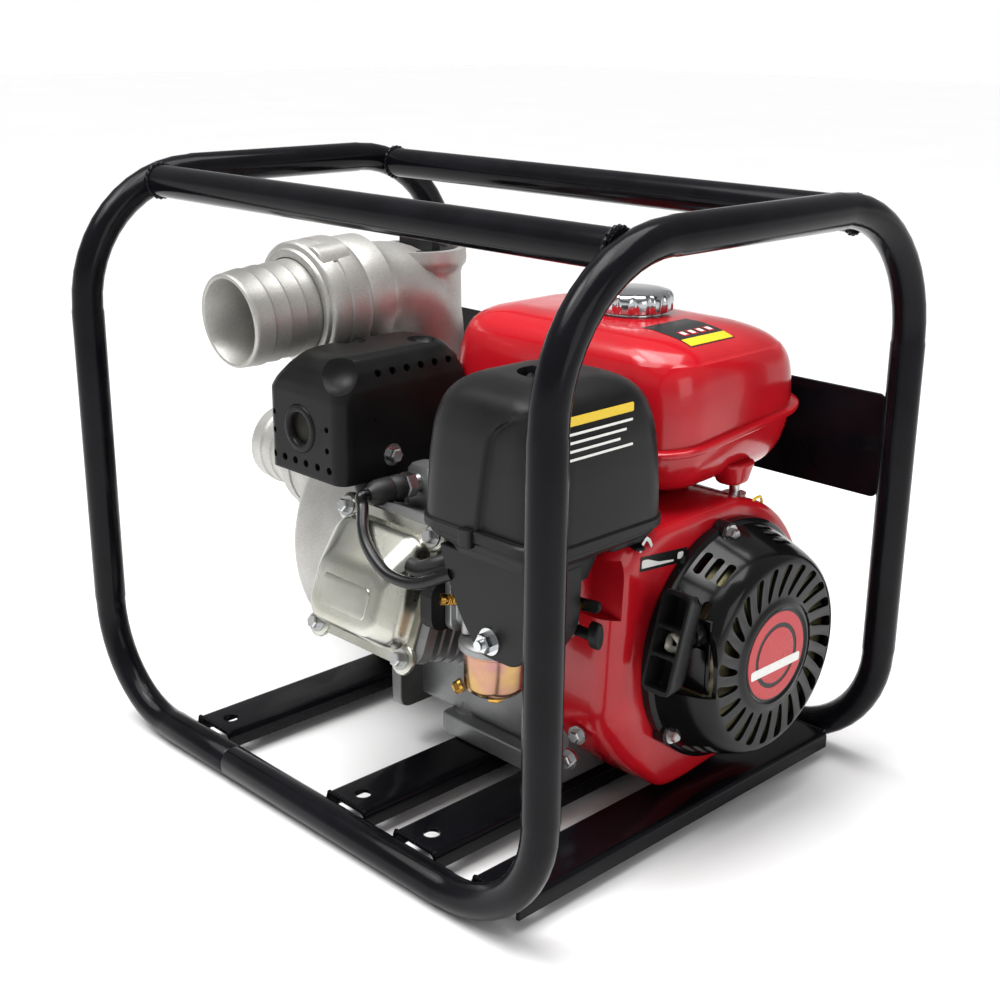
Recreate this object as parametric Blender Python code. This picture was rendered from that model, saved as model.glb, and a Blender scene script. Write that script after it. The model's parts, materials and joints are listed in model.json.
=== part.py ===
"""Engine-driven trash pump in a welded tube frame.

Every size below is in millimetres, measured from the centrelines of the left hoop (x), the
front bars (y) and the bottom bars (z).  The part's own origin is the bottom centre of its box.
"""
import math

import bmesh
import bpy
from mathutils import Vector

MM = 0.001
GAP = 0.3

# Tube frame
FRAME_X, FRAME_Y, FRAME_Z = 500.0, 375.0, 430.5
TUBE_R = 12.5
HOOP_BEND, FOOT_BEND = 100.0, 85.0
SLEEVE_X = 170.0
RAIL_IN, RAIL_Z = 66.0, 424.5
CHANNEL_X = (124.0, 292.0, 367.0, 447.0)
CHANNEL_WIDTH, CHANNEL_TOP, CHANNEL_DEPTH, SHEET = 45.0, 10.0, 14.0, 3.0
PLATE_Z = (207.0, 287.0)

# Shaft line shared by the engine and the pump
CRANK_Y, CRANK_Z = 249.0, 118.0
SHAFT_R = 12.5
BORE_X, BORE_R, CRANK_THROW, ROD_LENGTH = 282.0, 34.2, 27.0, 84.0
BORE_TILT = math.radians(20)
DECK, HEAD_TOP = 128.0, 188.0
CAM_Y, CAM_Z = CRANK_Y - 44.0, CRANK_Z - 44.0

# Pump end
CASING_R, CASING_X = 117.0, (70.0, 160.0)
PORT_X, PORT_Z = 110.0, 154.0
MOUTH_X = -96.0
OUTLET_MOUTH, OUTLET_DROP = Vector((PORT_X, 56.0, 328.0)), math.radians(4)
BARB_R, BARB_BORE, NUT_R = 37.5, 32.5, 50.0

# Engine end
FOOT_X, FOOT_Y = (256.0, 384.0), (138.0, 330.0)
FAN_X = (384.5, 443.0)
RIM_R, FACE_X = 98.0, 492.0
REEL_HUB, ROPE_R, ROPE_X = 28.0, 2.0, 471.0
GRIP_Y = 158.0
CARB_Y, CARB_Z = 80.0, 165.0
CLEANER_X, CLEANER_Y, CLEANER_Z = (332.0, 455.0), (44.0, 172.0), (228.0, 331.0)
MUFFLER_X, MUFFLER_Y = (140.0, 231.0), (66.0, 196.0)
TANK_X, TANK_Y, TANK_Z = (195.0, 432.0), (200.0, 352.0), (226.0, 341.0)
CAP_X, CAP_Y = 325.0, 283.0

CENTRE = Vector(((MOUTH_X + FRAME_X + TUBE_R) / 2, FRAME_Y / 2, -TUBE_R))
ALONG_X, ALONG_Y, ALONG_Z = Vector((1, 0, 0)), Vector((0, 1, 0)), Vector((0, 0, 1))
BORE_AXIS = Vector((0, -math.cos(BORE_TILT), math.sin(BORE_TILT)))
BORE_UP = Vector((0, math.sin(BORE_TILT), math.cos(BORE_TILT)))
SHAFT = Vector((0, CRANK_Y, CRANK_Z))

for old in list(bpy.data.objects):
    bpy.data.objects.remove(old, do_unlink=True)


# ---------------------------------------------------------------- finishes

FINISHES = {
    "frame_paint": (0x15151A, 0.0, 0.25), "cast_aluminium": (0x9B9894, 0.9, 0.45),
    "machined_steel": (0x8E8F92, 1.0, 0.3), "red_paint": (0xB5121B, 0.0, 0.2),
    "black_plastic": (0x17171A, 0.0, 0.5), "black_enamel": (0x1C1C1E, 0.0, 0.4),
    "zinc_steel": (0xC9CBC4, 1.0, 0.25), "chrome": (0xE2E2E2, 1.0, 0.08),
    "rubber": (0x101012, 0.0, 0.7), "foam": (0x3A3A3C, 0.0, 0.95),
    "cast_iron": (0x55534F, 0.8, 0.6), "rope_white": (0xC8C6BE, 0.0, 0.9),
    "ceramic": (0xEDEAE0, 0.0, 0.2), "passivated_zinc": (0xC4A24A, 1.0, 0.25),
}


def finish(name):
    """One Principled material for each finish, made the first time that it is asked for."""
    if name in bpy.data.materials:
        return bpy.data.materials[name]
    code, metallic, roughness = FINISHES[name]
    made = bpy.data.materials.new(name)
    made.use_nodes = True
    shader = made.node_tree.nodes["Principled BSDF"]
    channels = [((code >> shift) & 255) / 255 for shift in (16, 8, 0)]
    shader.inputs["Base Color"].default_value = [c ** 2.2 for c in channels] + [1.0]
    shader.inputs["Metallic"].default_value = metallic
    shader.inputs["Roughness"].default_value = roughness
    return made


# ---------------------------------------------------------------- shapes, as (points, faces)

def on_x(y, z, x):
    return Vector((x, y, z))


def on_y(x, z, y):
    return Vector((x, y, z))


def on_z(x, y, z):
    return Vector((x, y, z))


def bore_point(along, up, x):
    """A point of the tilted cylinder: along the bore from the crank, up square to it, and x."""
    return SHAFT + BORE_AXIS * along + BORE_UP * up + ALONG_X * x


def across_bore(x, up, along):
    return bore_point(along, up, x)


def loft(rings, joined=False):
    """Skin over rings with the same number of points; the ends are capped or joined."""
    count = len(rings[0])
    points = [point for ring in rings for point in ring]
    faces = []
    for row in range(len(rings) if joined else len(rings) - 1):
        low, high = row * count, (row + 1) % len(rings) * count
        for i in range(count):
            j = (i + 1) % count
            faces.append((low + i, low + j, high + j, high + i))
    if not joined:
        faces += [tuple(range(count)), tuple(range(len(points) - count, len(points)))]
    return points, faces


def prism(outline, start, end, place):
    return loft([[place(u, v, w) for u, v in outline] for w in (start, end)])


def rectangle(u, v, radius=0.0, steps=3):
    """A rectangle between the pairs u and v, with round corners when a radius is given."""
    if radius <= 0:
        return [(u[0], v[0]), (u[1], v[0]), (u[1], v[1]), (u[0], v[1])]
    corners = ((u[1], v[1], 0), (u[0], v[1], 90), (u[0], v[0], 180), (u[1], v[0], 270))
    points = []
    for cu, cv, turn in corners:
        mu = cu - radius if cu == u[1] else cu + radius
        mv = cv - radius if cv == v[1] else cv + radius
        for i in range(steps + 1):
            angle = math.radians(turn + 90 * i / steps)
            points.append((mu + radius * math.cos(angle), mv + radius * math.sin(angle)))
    return points


def box(x, y, z):
    return prism(rectangle(x, y), z[0], z[1], on_z)


def tapered(levels, place):
    """A loft over rectangles: each level is (u pair, v pair, corner radius, height)."""
    return loft([[place(a, b, w) for a, b in rectangle(u, v, r)] for u, v, r, w in levels])


def turned(profile, origin, axis, steps=20, ring=False):
    """Revolve (radius, distance along axis) pairs; ring closes the profile on itself."""
    axis = axis.normalized()
    side = axis.cross(ALONG_Z if abs(axis.z) < 0.9 else ALONG_X).normalized()
    other = axis.cross(side)
    rows = list(profile) if ring else [(0, profile[0][1]), *profile, (0, profile[-1][1])]
    points, starts = [], []
    for radius, along in rows:
        starts.append(len(points))
        for i in range(1 if radius == 0 else steps):
            angle = 2 * math.pi * (i + 0.5) / steps
            arm = (side * math.cos(angle) + other * math.sin(angle)) * radius
            points.append(origin + axis * along + arm)
    faces = []
    for row in range(len(rows) if ring else len(rows) - 1):
        after = (row + 1) % len(rows)
        a, b = starts[row], starts[after]
        for i in range(steps):
            j = (i + 1) % steps
            if rows[row][0] == 0:
                faces.append((a, b + j, b + i))
            elif rows[after][0] == 0:
                faces.append((a + i, a + j, b))
            else:
                faces.append((a + i, a + j, b + j, b + i))
    return points, faces


def disc(radius, start, end, origin, axis, steps=20):
    return turned([(radius, start), (radius, end)], origin, axis, steps)


def washer(inner, outer, start, end, origin, axis, steps=16):
    profile = [(inner, start), (outer, start), (outer, end), (inner, end)]
    return turned(profile, origin, axis, steps, ring=True)


def swept(path, radius, sides=12):
    """A round bar along a path; flats face the axes, so a level bar has a level underside."""
    reach = radius / math.cos(math.pi / sides)
    heading = (path[1] - path[0]).normalized()
    side = heading.cross(ALONG_Z if abs(heading.z) < 0.9 else ALONG_X).normalized()
    rings = []
    for i, point in enumerate(path):
        ahead = path[min(i + 1, len(path) - 1)] - path[max(i - 1, 0)]
        turn = heading.rotation_difference(ahead.normalized())
        heading = ahead.normalized()
        side = turn @ side
        other = heading.cross(side)
        angles = [2 * math.pi * (k + 0.5) / sides for k in range(sides)]
        rings.append([point + (side * math.cos(a) + other * math.sin(a)) * reach for a in angles])
    return loft(rings)


def bent_path(corners, bends, steps=5):
    """Straight runs between corners, each corner rounded to its bend radius."""
    path = [corners[0]]
    for before, corner, after, bend in zip(corners, corners[1:], corners[2:], bends):
        back, on = (before - corner).normalized(), (after - corner).normalized()
        centre = corner + (back + on) * bend
        for i in range(steps + 1):
            angle = math.pi / 2 * i / steps
            path.append(centre - on * bend * math.cos(angle) - back * bend * math.sin(angle))
    return path + [corners[-1]]


def smooth_path(route, steps=3):
    """A Catmull-Rom curve through the route's points."""
    ends = [route[0] * 2 - route[1], *route, route[-1] * 2 - route[-2]]
    path = []
    for a, b, c, d in zip(ends, ends[1:], ends[2:], ends[3:]):
        for i in range(steps):
            t = i / steps
            path.append(0.5 * (b * 2 + (c - a) * t + (a * 2 - b * 5 + c * 4 - d) * t * t
                               + (b * 3 - a - c * 3 + d) * t ** 3))
    return path + [route[-1]]


# ---------------------------------------------------------------- objects

def mesh_object(name, shape, origin):
    points, faces = shape
    build = bmesh.new()
    verts = [build.verts.new((point - origin) * MM) for point in points]
    for face in faces:
        build.faces.new([verts[i] for i in face])
    bmesh.ops.recalc_face_normals(build, faces=build.faces)
    mesh = bpy.data.meshes.new(name)
    build.to_mesh(mesh)
    build.free()
    mesh.shade_smooth()
    mesh.set_sharp_from_angle(angle=math.radians(35))
    made = bpy.data.objects.new(name, mesh)
    made.location = (origin - CENTRE) * MM
    bpy.context.scene.collection.objects.link(made)
    return made


def solid(name, shape, look, origin=None):
    """A named piece; a moving one is given an origin on its joint's axis."""
    made = mesh_object(name, shape, CENTRE if origin is None else origin)
    made.data.materials.append(finish(look))
    return made


def combine(target, operation, shapes):
    for shape in shapes:
        tool = mesh_object(f"{target.name}_tool", shape, CENTRE)
        tool.hide_render = True
        tool.display_type = "WIRE"
        step = target.modifiers.new(operation.lower(), "BOOLEAN")
        step.operation, step.solver, step.object = operation, "EXACT", tool


def unite(target, *shapes):
    combine(target, "UNION", shapes)


def cut(target, *shapes):
    combine(target, "DIFFERENCE", shapes)


# ---------------------------------------------------------------- tube frame

def frame_half(name, x_hoop):
    """Half of the skeleton: a front foot bar, a hoop over the top, and a rear foot bar."""
    join_x = SLEEVE_X + (GAP if x_hoop > SLEEVE_X else -GAP) / 2
    corners = [Vector(c) for c in (
        (join_x, 0, 0), (x_hoop, 0, 0), (x_hoop, 0, FRAME_Z),
        (x_hoop, FRAME_Y, FRAME_Z), (x_hoop, FRAME_Y, 0), (join_x, FRAME_Y, 0))]
    path = bent_path(corners, (FOOT_BEND, HOOP_BEND, HOOP_BEND, FOOT_BEND))
    solid(name, swept(path, TUBE_R), "frame_paint")


frame_half("frame_tube_left", 0.0)
frame_half("frame_tube_right", FRAME_X)

for rail_name, rail_y in (("top_rail_front", RAIL_IN), ("top_rail_rear", FRAME_Y - RAIL_IN)):
    rail_ends = [Vector((x, rail_y, RAIL_Z)) for x in
                 (TUBE_R + GAP + 0.5, FRAME_X - TUBE_R - GAP - 0.5)]
    solid(rail_name, swept(rail_ends, TUBE_R), "frame_paint")

for number, middle in enumerate(CHANNEL_X, start=1):
    half, low = CHANNEL_WIDTH / 2, CHANNEL_TOP - CHANNEL_DEPTH
    section = [(-half, low), (-half, CHANNEL_TOP), (half, CHANNEL_TOP), (half, low),
               (half - SHEET, low), (half - SHEET, CHANNEL_TOP - SHEET),
               (SHEET - half, CHANNEL_TOP - SHEET), (SHEET - half, low)]
    section = [(middle + u, v) for u, v in section]
    reach = (TUBE_R + 1.0, FRAME_Y - TUBE_R - 1.0)
    channel = solid(f"base_channel_{number}", prism(section, *reach, on_y), "frame_paint")
    hole_at = Vector((middle, 30.0, 0))
    cut(channel, disc(6.0, -20, 40, hole_at, ALONG_Z, 12))

solid("rear_plate", box((TUBE_R + 1, FRAME_X - TUBE_R - 1), (373.5, 376.5), PLATE_Z), "frame_paint")


# ---------------------------------------------------------------- pump

casing_front, casing_back = CASING_X
casing = solid("pump_casing", turned(
    [(101, casing_front), (113, casing_front + 5), (CASING_R, casing_front + 15),
     (CASING_R, casing_back), (CASING_R - 7, casing_back), (CASING_R - 7, casing_front + 16),
     (99, casing_front + 7)], SHAFT, ALONG_X, 32), "cast_aluminium")
outlet_base = Vector((PORT_X, CRANK_Y, 0))
inlet_axis = Vector((0, CRANK_Y, PORT_Z))
unite(casing, disc(37, 216, 243, outlet_base, ALONG_Z, 20))
cut(casing, disc(29, 190, 262, outlet_base, ALONG_Z, 16),
    disc(29, casing_front - 20, casing_front + 20, inlet_axis, ALONG_X, 16),
    box((0, 220), (100, 400), (-40, CHANNEL_TOP + GAP)))

back_plate = solid("pump_back_plate", turned(
    [(14, casing_back + GAP), (CASING_R, casing_back + GAP), (CASING_R, 169),
     (66, 171), (58, 178), (58, 188), (70, 190), (70, 195.7), (14, 195.7)],
    SHAFT, ALONG_X, 32, ring=True), "cast_aluminium")
cut(back_plate, box((100, 220), (100, 400), (-40, CHANNEL_TOP + GAP)),
    disc(22, 150, 169, SHAFT, ALONG_X, 20))

solid("volute_insert", turned(
    [(74, 159), (80, 159), (84, 130), (84, 113), (24, 113), (24, 117), (74, 121)],
    SHAFT, ALONG_X, 20, ring=True), "cast_iron")

impeller = solid("impeller", turned(
    [(11.3, 124), (18, 124), (22, 144), (64, 146), (64, 151), (18, 153), (18, 158), (11.3, 158)],
    SHAFT, ALONG_X, 20, ring=True), "cast_iron", SHAFT)
for vane in range(4):
    middle_angle = math.pi / 2 * vane
    arc = [(14 + 48 * k / 4, middle_angle + 0.9 * (k / 4) ** 1.3) for k in range(5)]
    inner = [(r * math.cos(a), r * math.sin(a)) for r, a in arc]
    outer = [(r * math.cos(a + 3.5 / r), r * math.sin(a + 3.5 / r)) for r, a in reversed(arc)]
    blade = [(CRANK_Y + u, CRANK_Z + v) for u, v in inner + outer]
    unite(impeller, prism(blade, 125, 147, on_x))

solid("mechanical_seal", washer(13.2, 21, 160.6, 168.5, SHAFT, ALONG_X, 20), "rubber")


def hose_coupling(end, origin, axis, joint_origin):
    """A ridged hose barb held to its port by a lugged nut, from the mouth at origin inwards."""
    ridges = []
    for k in range(4):
        ridges += [(BARB_R - 1.6, 4 + 15 * k), (BARB_R + 0.6, 17 + 15 * k)]
    profile = [(BARB_BORE, 0), (BARB_R - 1.6, 0), *ridges, (BARB_R, 65.8), (43, 66.2), (43, 73.7),
               (BARB_BORE, 73.7)]
    solid(f"{end}_hose_barb", turned(profile, origin, axis, 20, ring=True), "cast_aluminium")
    nut_profile = [(BARB_R + 1.2, 61), (46, 61), (NUT_R, 65), (NUT_R, 100), (47, 103.7),
                   (44.6, 103.7), (44.6, 65.4), (BARB_R + 1.2, 65.4)]
    nut = solid(f"{end}_nut", turned(nut_profile, origin, axis, 20, ring=True),
                "cast_aluminium", joint_origin)
    side = axis.cross(ALONG_Z if abs(axis.z) < 0.9 else ALONG_X).normalized()
    for k in range(3):
        angle = math.radians(-60 + 120 * k)
        arm = side * math.cos(angle) + axis.cross(side) * math.sin(angle)
        tangent = axis.cross(arm)
        rings = [[origin + axis * a + arm * r + tangent * t for r, t in
                  ((47.5, -9), (54, -3), (54, 3), (47.5, 9))] for a in (68, 98)]
        unite(nut, loft(rings))


inlet_mouth = Vector((MOUTH_X, CRANK_Y, PORT_Z))
outlet_axis = Vector((0, math.cos(OUTLET_DROP), math.sin(OUTLET_DROP)))
hose_coupling("inlet", inlet_mouth, ALONG_X, inlet_mouth + ALONG_X * 82)
hose_coupling("outlet", OUTLET_MOUTH, outlet_axis, OUTLET_MOUTH + outlet_axis * 82)

# The inlet body carries the nut's thread and closes on the casing with a round flange.
solid("inlet_flange", turned(
    [(28, 74), (43.5, 74), (43.5, 104), (47, 106), (47, 128), (38, 132), (38, 148), (56, 154),
     (56, casing_front - MOUTH_X - GAP), (28, casing_front - MOUTH_X - GAP)],
    inlet_mouth, ALONG_X, 20, ring=True), "cast_aluminium")

flap_hinge = Vector((82.0, CRANK_Y, PORT_Z + 36))
flap = solid("inlet_check_flap", disc(33, 80, 84, inlet_axis, ALONG_X, 16), "rubber", flap_hinge)
unite(flap, disc(4, -18, 18, flap_hinge, ALONG_Y, 10))

elbow_turn = 52.0
elbow_start = Vector((PORT_X, CRANK_Y, 246.0))
branch_end = OUTLET_MOUTH + outlet_axis * 104
branch_root = OUTLET_MOUTH + outlet_axis * 150
bend = [Vector((PORT_X, CRANK_Y, 290.0))]
for k in range(1, 6):
    angle = (math.pi / 2 - OUTLET_DROP) * k / 6
    rise = (branch_root.z - 290) * math.sin(angle) / math.cos(OUTLET_DROP)
    bend.append(Vector((PORT_X, CRANK_Y - elbow_turn * (1 - math.cos(angle)), 290 + rise)))
elbow_path = [elbow_start, *bend, branch_root, branch_end]
elbow = solid("outlet_elbow", swept(elbow_path, 39, 14), "cast_aluminium")
unite(elbow, turned([(46, 243.3), (46, 252), (35, 253), (35, 356), (39, 357), (39, 366.5)],
                    outlet_base, ALONG_Z, 16),
      turned([(43.5, 74), (43.5, 104), (47, 104.3), (47, 128)], OUTLET_MOUTH, outlet_axis, 20))
bore_path = [Vector((PORT_X, CRANK_Y, 238.0)), *bend, branch_root,
             OUTLET_MOUTH + outlet_axis * 66]
cut(elbow, swept(bore_path, 28, 12), disc(32.5, 330, 400, outlet_base, ALONG_Z, 16))

plug_axis = Vector((PORT_X, CRANK_Y, 0))
plug = solid("priming_plug", turned([(30.5, 352), (30.5, 365), (26, 366.5)], plug_axis, ALONG_Z, 20),
             "black_plastic", plug_axis + ALONG_Z * 352)
unite(plug, box((PORT_X - 22, PORT_X + 22), (CRANK_Y - 5, CRANK_Y + 5), (360, 380)))


# ---------------------------------------------------------------- engine core

block_outline = [(150, 26), (330, 24), (343, 60), (345, 150), (326, 196), (280, 214), (216, 214),
                 (176, 178), (150, 120)]
crankcase = solid("crankcase", prism(block_outline, 222.3, FOOT_X[1], on_x), "cast_aluminium")
foot = prism(rectangle(FOOT_X, FOOT_Y, 10), CHANNEL_TOP + GAP, 27, on_z)
barrel = prism([(40, -46), (DECK, -46), (DECK, 46), (40, 46)], 232, 332, bore_point)
unite(crankcase, foot, barrel)
cut(crankcase, disc(70, 215, 336, SHAFT, ALONG_X, 32),
    disc(47, 215, 330, Vector((0, CAM_Y, CAM_Z)), ALONG_X, 24),
    disc(BORE_R, 20, DECK + 6, SHAFT + ALONG_X * BORE_X, BORE_AXIS, 32),
    disc(26.3, 330, 352, SHAFT, ALONG_X, 24), disc(14, 340, 400, SHAFT, ALONG_X, 16))
for hole_x in (CHANNEL_X[1], CHANNEL_X[2]):
    for hole_y in (157.0, 319.0):
        cut(crankcase, disc(4.5, 0, 40, Vector((hole_x, hole_y, 0)), ALONG_Z, 10))

cover_outline = [(127, 20), (343, 22), (350, 60), (350, 150), (322, 204), (196, 206), (150, 170),
                 (127, 90)]
crankcase_cover = solid("crankcase_cover", prism(cover_outline, 210, 222, on_x), "cast_aluminium")
unite(crankcase_cover, disc(56, 196, 212, SHAFT, ALONG_X, 32))
cut(crankcase_cover, disc(14, 190, 230, SHAFT, ALONG_X, 16), disc(26.3, 206, 230, SHAFT, ALONG_X, 24),
    disc(8.4, 214, 230, Vector((0, CAM_Y, CAM_Z)), ALONG_X, 12))

solid("main_bearing_pto", washer(13.1, 26, 206.5, 221.5, SHAFT, ALONG_X, 14), "machined_steel")
solid("main_bearing_flywheel", washer(13.1, 26, 336.5, 351.5, SHAFT, ALONG_X, 14), "machined_steel")

pin_centre = SHAFT + BORE_AXIS * CRANK_THROW
crank = solid("crankshaft", turned(
    [(11, 126), (11, 204), (SHAFT_R, 204), (SHAFT_R, 226), (20.5, 226), (20.5, 236),
     (SHAFT_R, 236), (SHAFT_R, 258), (43, 258), (43, 270)], SHAFT, ALONG_X, 18),
    "machined_steel", SHAFT)
unite(crank, disc(14, 265, 299, pin_centre, ALONG_X, 20),
      turned([(43, 294), (43, 306), (SHAFT_R, 306), (SHAFT_R, 354), (10, 354), (10, 450)],
             SHAFT, ALONG_X, 18))

cam_line = Vector((0, CAM_Y, CAM_Z))
cam = solid("camshaft", turned(
    [(8, 215), (8, 226), (41, 226), (41, 236), (8, 236), (8, 328)], cam_line, ALONG_X, 18),
    "machined_steel", cam_line)
for lobe_x, lean in ((246.0, 40), (308.0, 160)):
    tip = cam_line + Vector((0, math.cos(math.radians(lean)), math.sin(math.radians(lean)))) * 5
    unite(cam, disc(10, lobe_x, lobe_x + 10, tip, ALONG_X, 16))

pin_along = CRANK_THROW + ROD_LENGTH
on_bore = SHAFT + ALONG_X * BORE_X
piston = solid("piston", disc(BORE_R - 0.4, pin_along - 20, DECK - 1, on_bore, BORE_AXIS, 32),
               "cast_aluminium")
cut(piston, disc(28, pin_along - 30, DECK - 5, on_bore, BORE_AXIS, 24))
wrist = bore_point(pin_along, 0, 0)
unite(piston, disc(8, BORE_X - 31, BORE_X + 31, wrist, ALONG_X, 16))

shank = [(50, -8), (pin_along - 9, -7), (pin_along - 9, 7), (50, 8)]
rod = solid("connecting_rod", prism(shank, BORE_X - 6, BORE_X + 6, bore_point), "cast_aluminium")
unite(rod, disc(11.5, BORE_X - 6, BORE_X + 6, wrist, ALONG_X, 20))
cut(rod, disc(8.4, BORE_X - 12, BORE_X + 12, wrist, ALONG_X, 16))
solid("rod_big_end", washer(14.3, 21.5, 271, 293, pin_centre, ALONG_X, 20), "cast_aluminium", SHAFT)

head = solid("cylinder_head", tapered(
    [((226, 334), (-68, 34), 8, DECK + GAP), ((226, 334), (-68, 34), 8, HEAD_TOP)], across_bore),
    "cast_aluminium")
plug_seat = Vector((255.0, 124.0, 229.0))
plug_line = Vector((-0.1, -0.99, -0.04)).normalized()
unite(head, box((241, 270), (118, 138), (190, 241)))
cut(head, disc(7.3, -8, 12, plug_seat, plug_line, 12),
    disc(30, DECK - 4, DECK + 7, on_bore, BORE_AXIS, 24),
    disc(10, 310, 345, Vector((0, CARB_Y, CARB_Z)), ALONG_X, 16))

cover_x, cover_up = (219, 325), (-73, 29)
valve_cover = solid("valve_cover", tapered(
    [(cover_x, cover_up, 14, HEAD_TOP + GAP), (cover_x, cover_up, 14, HEAD_TOP + 4)],
    across_bore), "zinc_steel")
unite(valve_cover, tapered(
    [((228, 316), (-64, 20), 12, HEAD_TOP + 2), ((230, 314), (-62, 18), 12, HEAD_TOP + 14),
     ((242, 302), (-52, 4), 10, HEAD_TOP + 30)], across_bore))
cut(valve_cover, tapered(
    [((232, 312), (-60, 16), 10, HEAD_TOP - 4), ((234, 310), (-58, 14), 10, HEAD_TOP + 11),
     ((246, 298), (-48, 0), 8, HEAD_TOP + 26)], across_bore))

solid("spark_plug", turned(
    [(7, -7), (7, 10), (10, 10.5), (10, 18), (6, 19), (5.5, 34), (3, 35), (3, 44)],
    plug_seat, plug_line, 12), "ceramic")
solid("spark_plug_cap", turned(
    [(8, 54), (9.5, 48), (9.5, 19.5), (7, 19.5), (7, 45)], plug_seat, plug_line, 12), "rubber")
cap_end = plug_seat + plug_line * 57.5
lead_route = [cap_end, cap_end + Vector((-1, -7, -8)), Vector((255, 48, 208)),
              Vector((275, 35, 190)), Vector((300, 30, 176)), Vector((322, 35, 170)),
              Vector((340, 43, 176)), Vector((353, 48, 190)), Vector((366, 59, 198))]
solid("ignition_lead", swept(smooth_path(lead_route), 3.6, 8), "rubber")
hose_start = bore_point(203, 0, 314.5)
hose_route = [hose_start + ALONG_X * 1.5, hose_start + ALONG_X * 12, Vector((340, 62, 194)),
              Vector((352, 73, 199))]
solid("breather_hose", swept(smooth_path(hose_route), 6, 10), "rubber")

stick = Vector((310.0, 0, 52.0))
cut(crankcase, disc(9, 300, 360, stick, ALONG_Y, 14))
solid("oil_dipstick", turned([(3, 306), (3, 336), (8, 336), (8, 344), (14, 344.6), (14, 356), (10, 360)],
                             stick, ALONG_Y, 16), "black_plastic")


# ---------------------------------------------------------------- muffler and carburettor

muffler = solid("muffler_body", tapered(
    [((147, 224), (73, 189), 10, 236), ((145, 226), (71, 191), 14, 258),
     ((149, 224), (73, 189), 14, 278)], on_z), "black_enamel")
exhaust = bent_path([Vector((225.7, 116, 196)), Vector((203, 116, 196)), Vector((203, 116, 240))],
                    (18.0,), 4)
unite(muffler, swept(exhaust, 14, 14))
shield_levels = [(MUFFLER_X, MUFFLER_Y, 12, 228), (MUFFLER_X, MUFFLER_Y, 14, 280),
                 ((150, 229), (72, 193), 16, 296), ((176, 220), (90, 185), 20, 308)]
shield = solid("muffler_shield", tapered(shield_levels, on_z), "black_enamel")
cut(shield, tapered(
    [((142, 229), (68, 194), 10, 220), ((142, 229), (68, 194), 12, 279),
     ((152, 227), (74, 191), 14, 294), ((177, 219), (92, 184), 18, 305)], on_z))

port = Vector((0, CARB_Y, CARB_Z))
insulator = solid("carb_insulator", prism(rectangle((CARB_Y - 30, CARB_Y + 30), (CARB_Z - 18, CARB_Z + 18),
                                                    10), 334.3, 345.7, on_x), "black_plastic")
cut(insulator, disc(10, 320, 360, port, ALONG_X, 16))
carb = solid("carburetor_body", prism(rectangle((CARB_Y - 18, CARB_Y + 14), (146, 187), 8),
                                      346, 404, on_x), "cast_aluminium")
bowl_axis = Vector((381.0, 77.0, 0))
unite(carb, disc(25, 141.3, 148, bowl_axis, ALONG_Z, 20),
      disc(7, 394, 430, Vector((0, 101, 163)), ALONG_X, 12),
      box((390, 404), (88, 108), (157, 170)),
      disc(3, 88, 106, Vector((396, 0, 181)), ALONG_Y, 10))
cut(carb, disc(9, 330, 420, port, ALONG_X, 16))
solid("float_bowl", turned([(5, 103), (5, 109), (19, 110), (22, 115), (22, 141)], bowl_axis,
                            ALONG_Z, 20), "passivated_zinc")

choke_pivot = Vector((396.0, 98.0, 181.0))
choke = solid("choke_lever", prism([(390, 176), (402, 174), (454, 182), (456, 190), (448, 191),
                                    (400, 188), (390, 187)], 96.8, 100, on_y),
              "black_enamel", choke_pivot)
cut(choke, disc(3.5, 80, 120, Vector((396, 0, 181)), ALONG_Y, 10))
cock_axis = Vector((0, 101.0, 163.0))
cock = solid("fuel_cock_lever", disc(4, 430.3, 450, cock_axis, ALONG_X, 12), "black_plastic",
             cock_axis + ALONG_X * 440)
unite(cock, prism(rectangle((96, 106), (152, 176), 4.5), 447, 456, on_x))

tray_x = (CLEANER_X[0] + 3, CLEANER_X[1] - 3)
tray_y = (CLEANER_Y[0] + 3, CLEANER_Y[1] - 3)
cleaner_base = solid("air_cleaner_base", tapered(
    [((362, 444), (54, 126), 16, 205), ((358, 447), (54, 129), 18, 216),
     (tray_x, tray_y, 22, 222.5), (tray_x, tray_y, 22, 227.7)],
    on_z), "black_plastic")
centre_x, centre_y = sum(CLEANER_X) / 2, sum(CLEANER_Y) / 2
stud_axis = Vector((centre_x, centre_y, 0))
skirt = [(366, 212), (370, 192), (384, 165), (398, 150), (406, 150), (406, 212)]
unite(cleaner_base, prism(rectangle((404.3, 440), (50, 94), 12), 149, 212, on_z),
      prism(skirt, 50.5, 55.5, on_y),
      disc(3, 224, 333, stud_axis, ALONG_Z, 10))
cut(cleaner_base, disc(9, 400, 420, port, ALONG_X, 14))

element = solid("air_filter_element", prism(rectangle((362, 438), (68, 147), 12), 228.5, 300, on_z),
                "foam")
cut(element, disc(3.8, 220, 310, stud_axis, ALONG_Z, 10))


def cleaner_level(inset, height, radius):
    return ((CLEANER_X[0] + inset, CLEANER_X[1] - inset),
            (CLEANER_Y[0] + inset, CLEANER_Y[1] - inset), radius, height)


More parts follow.
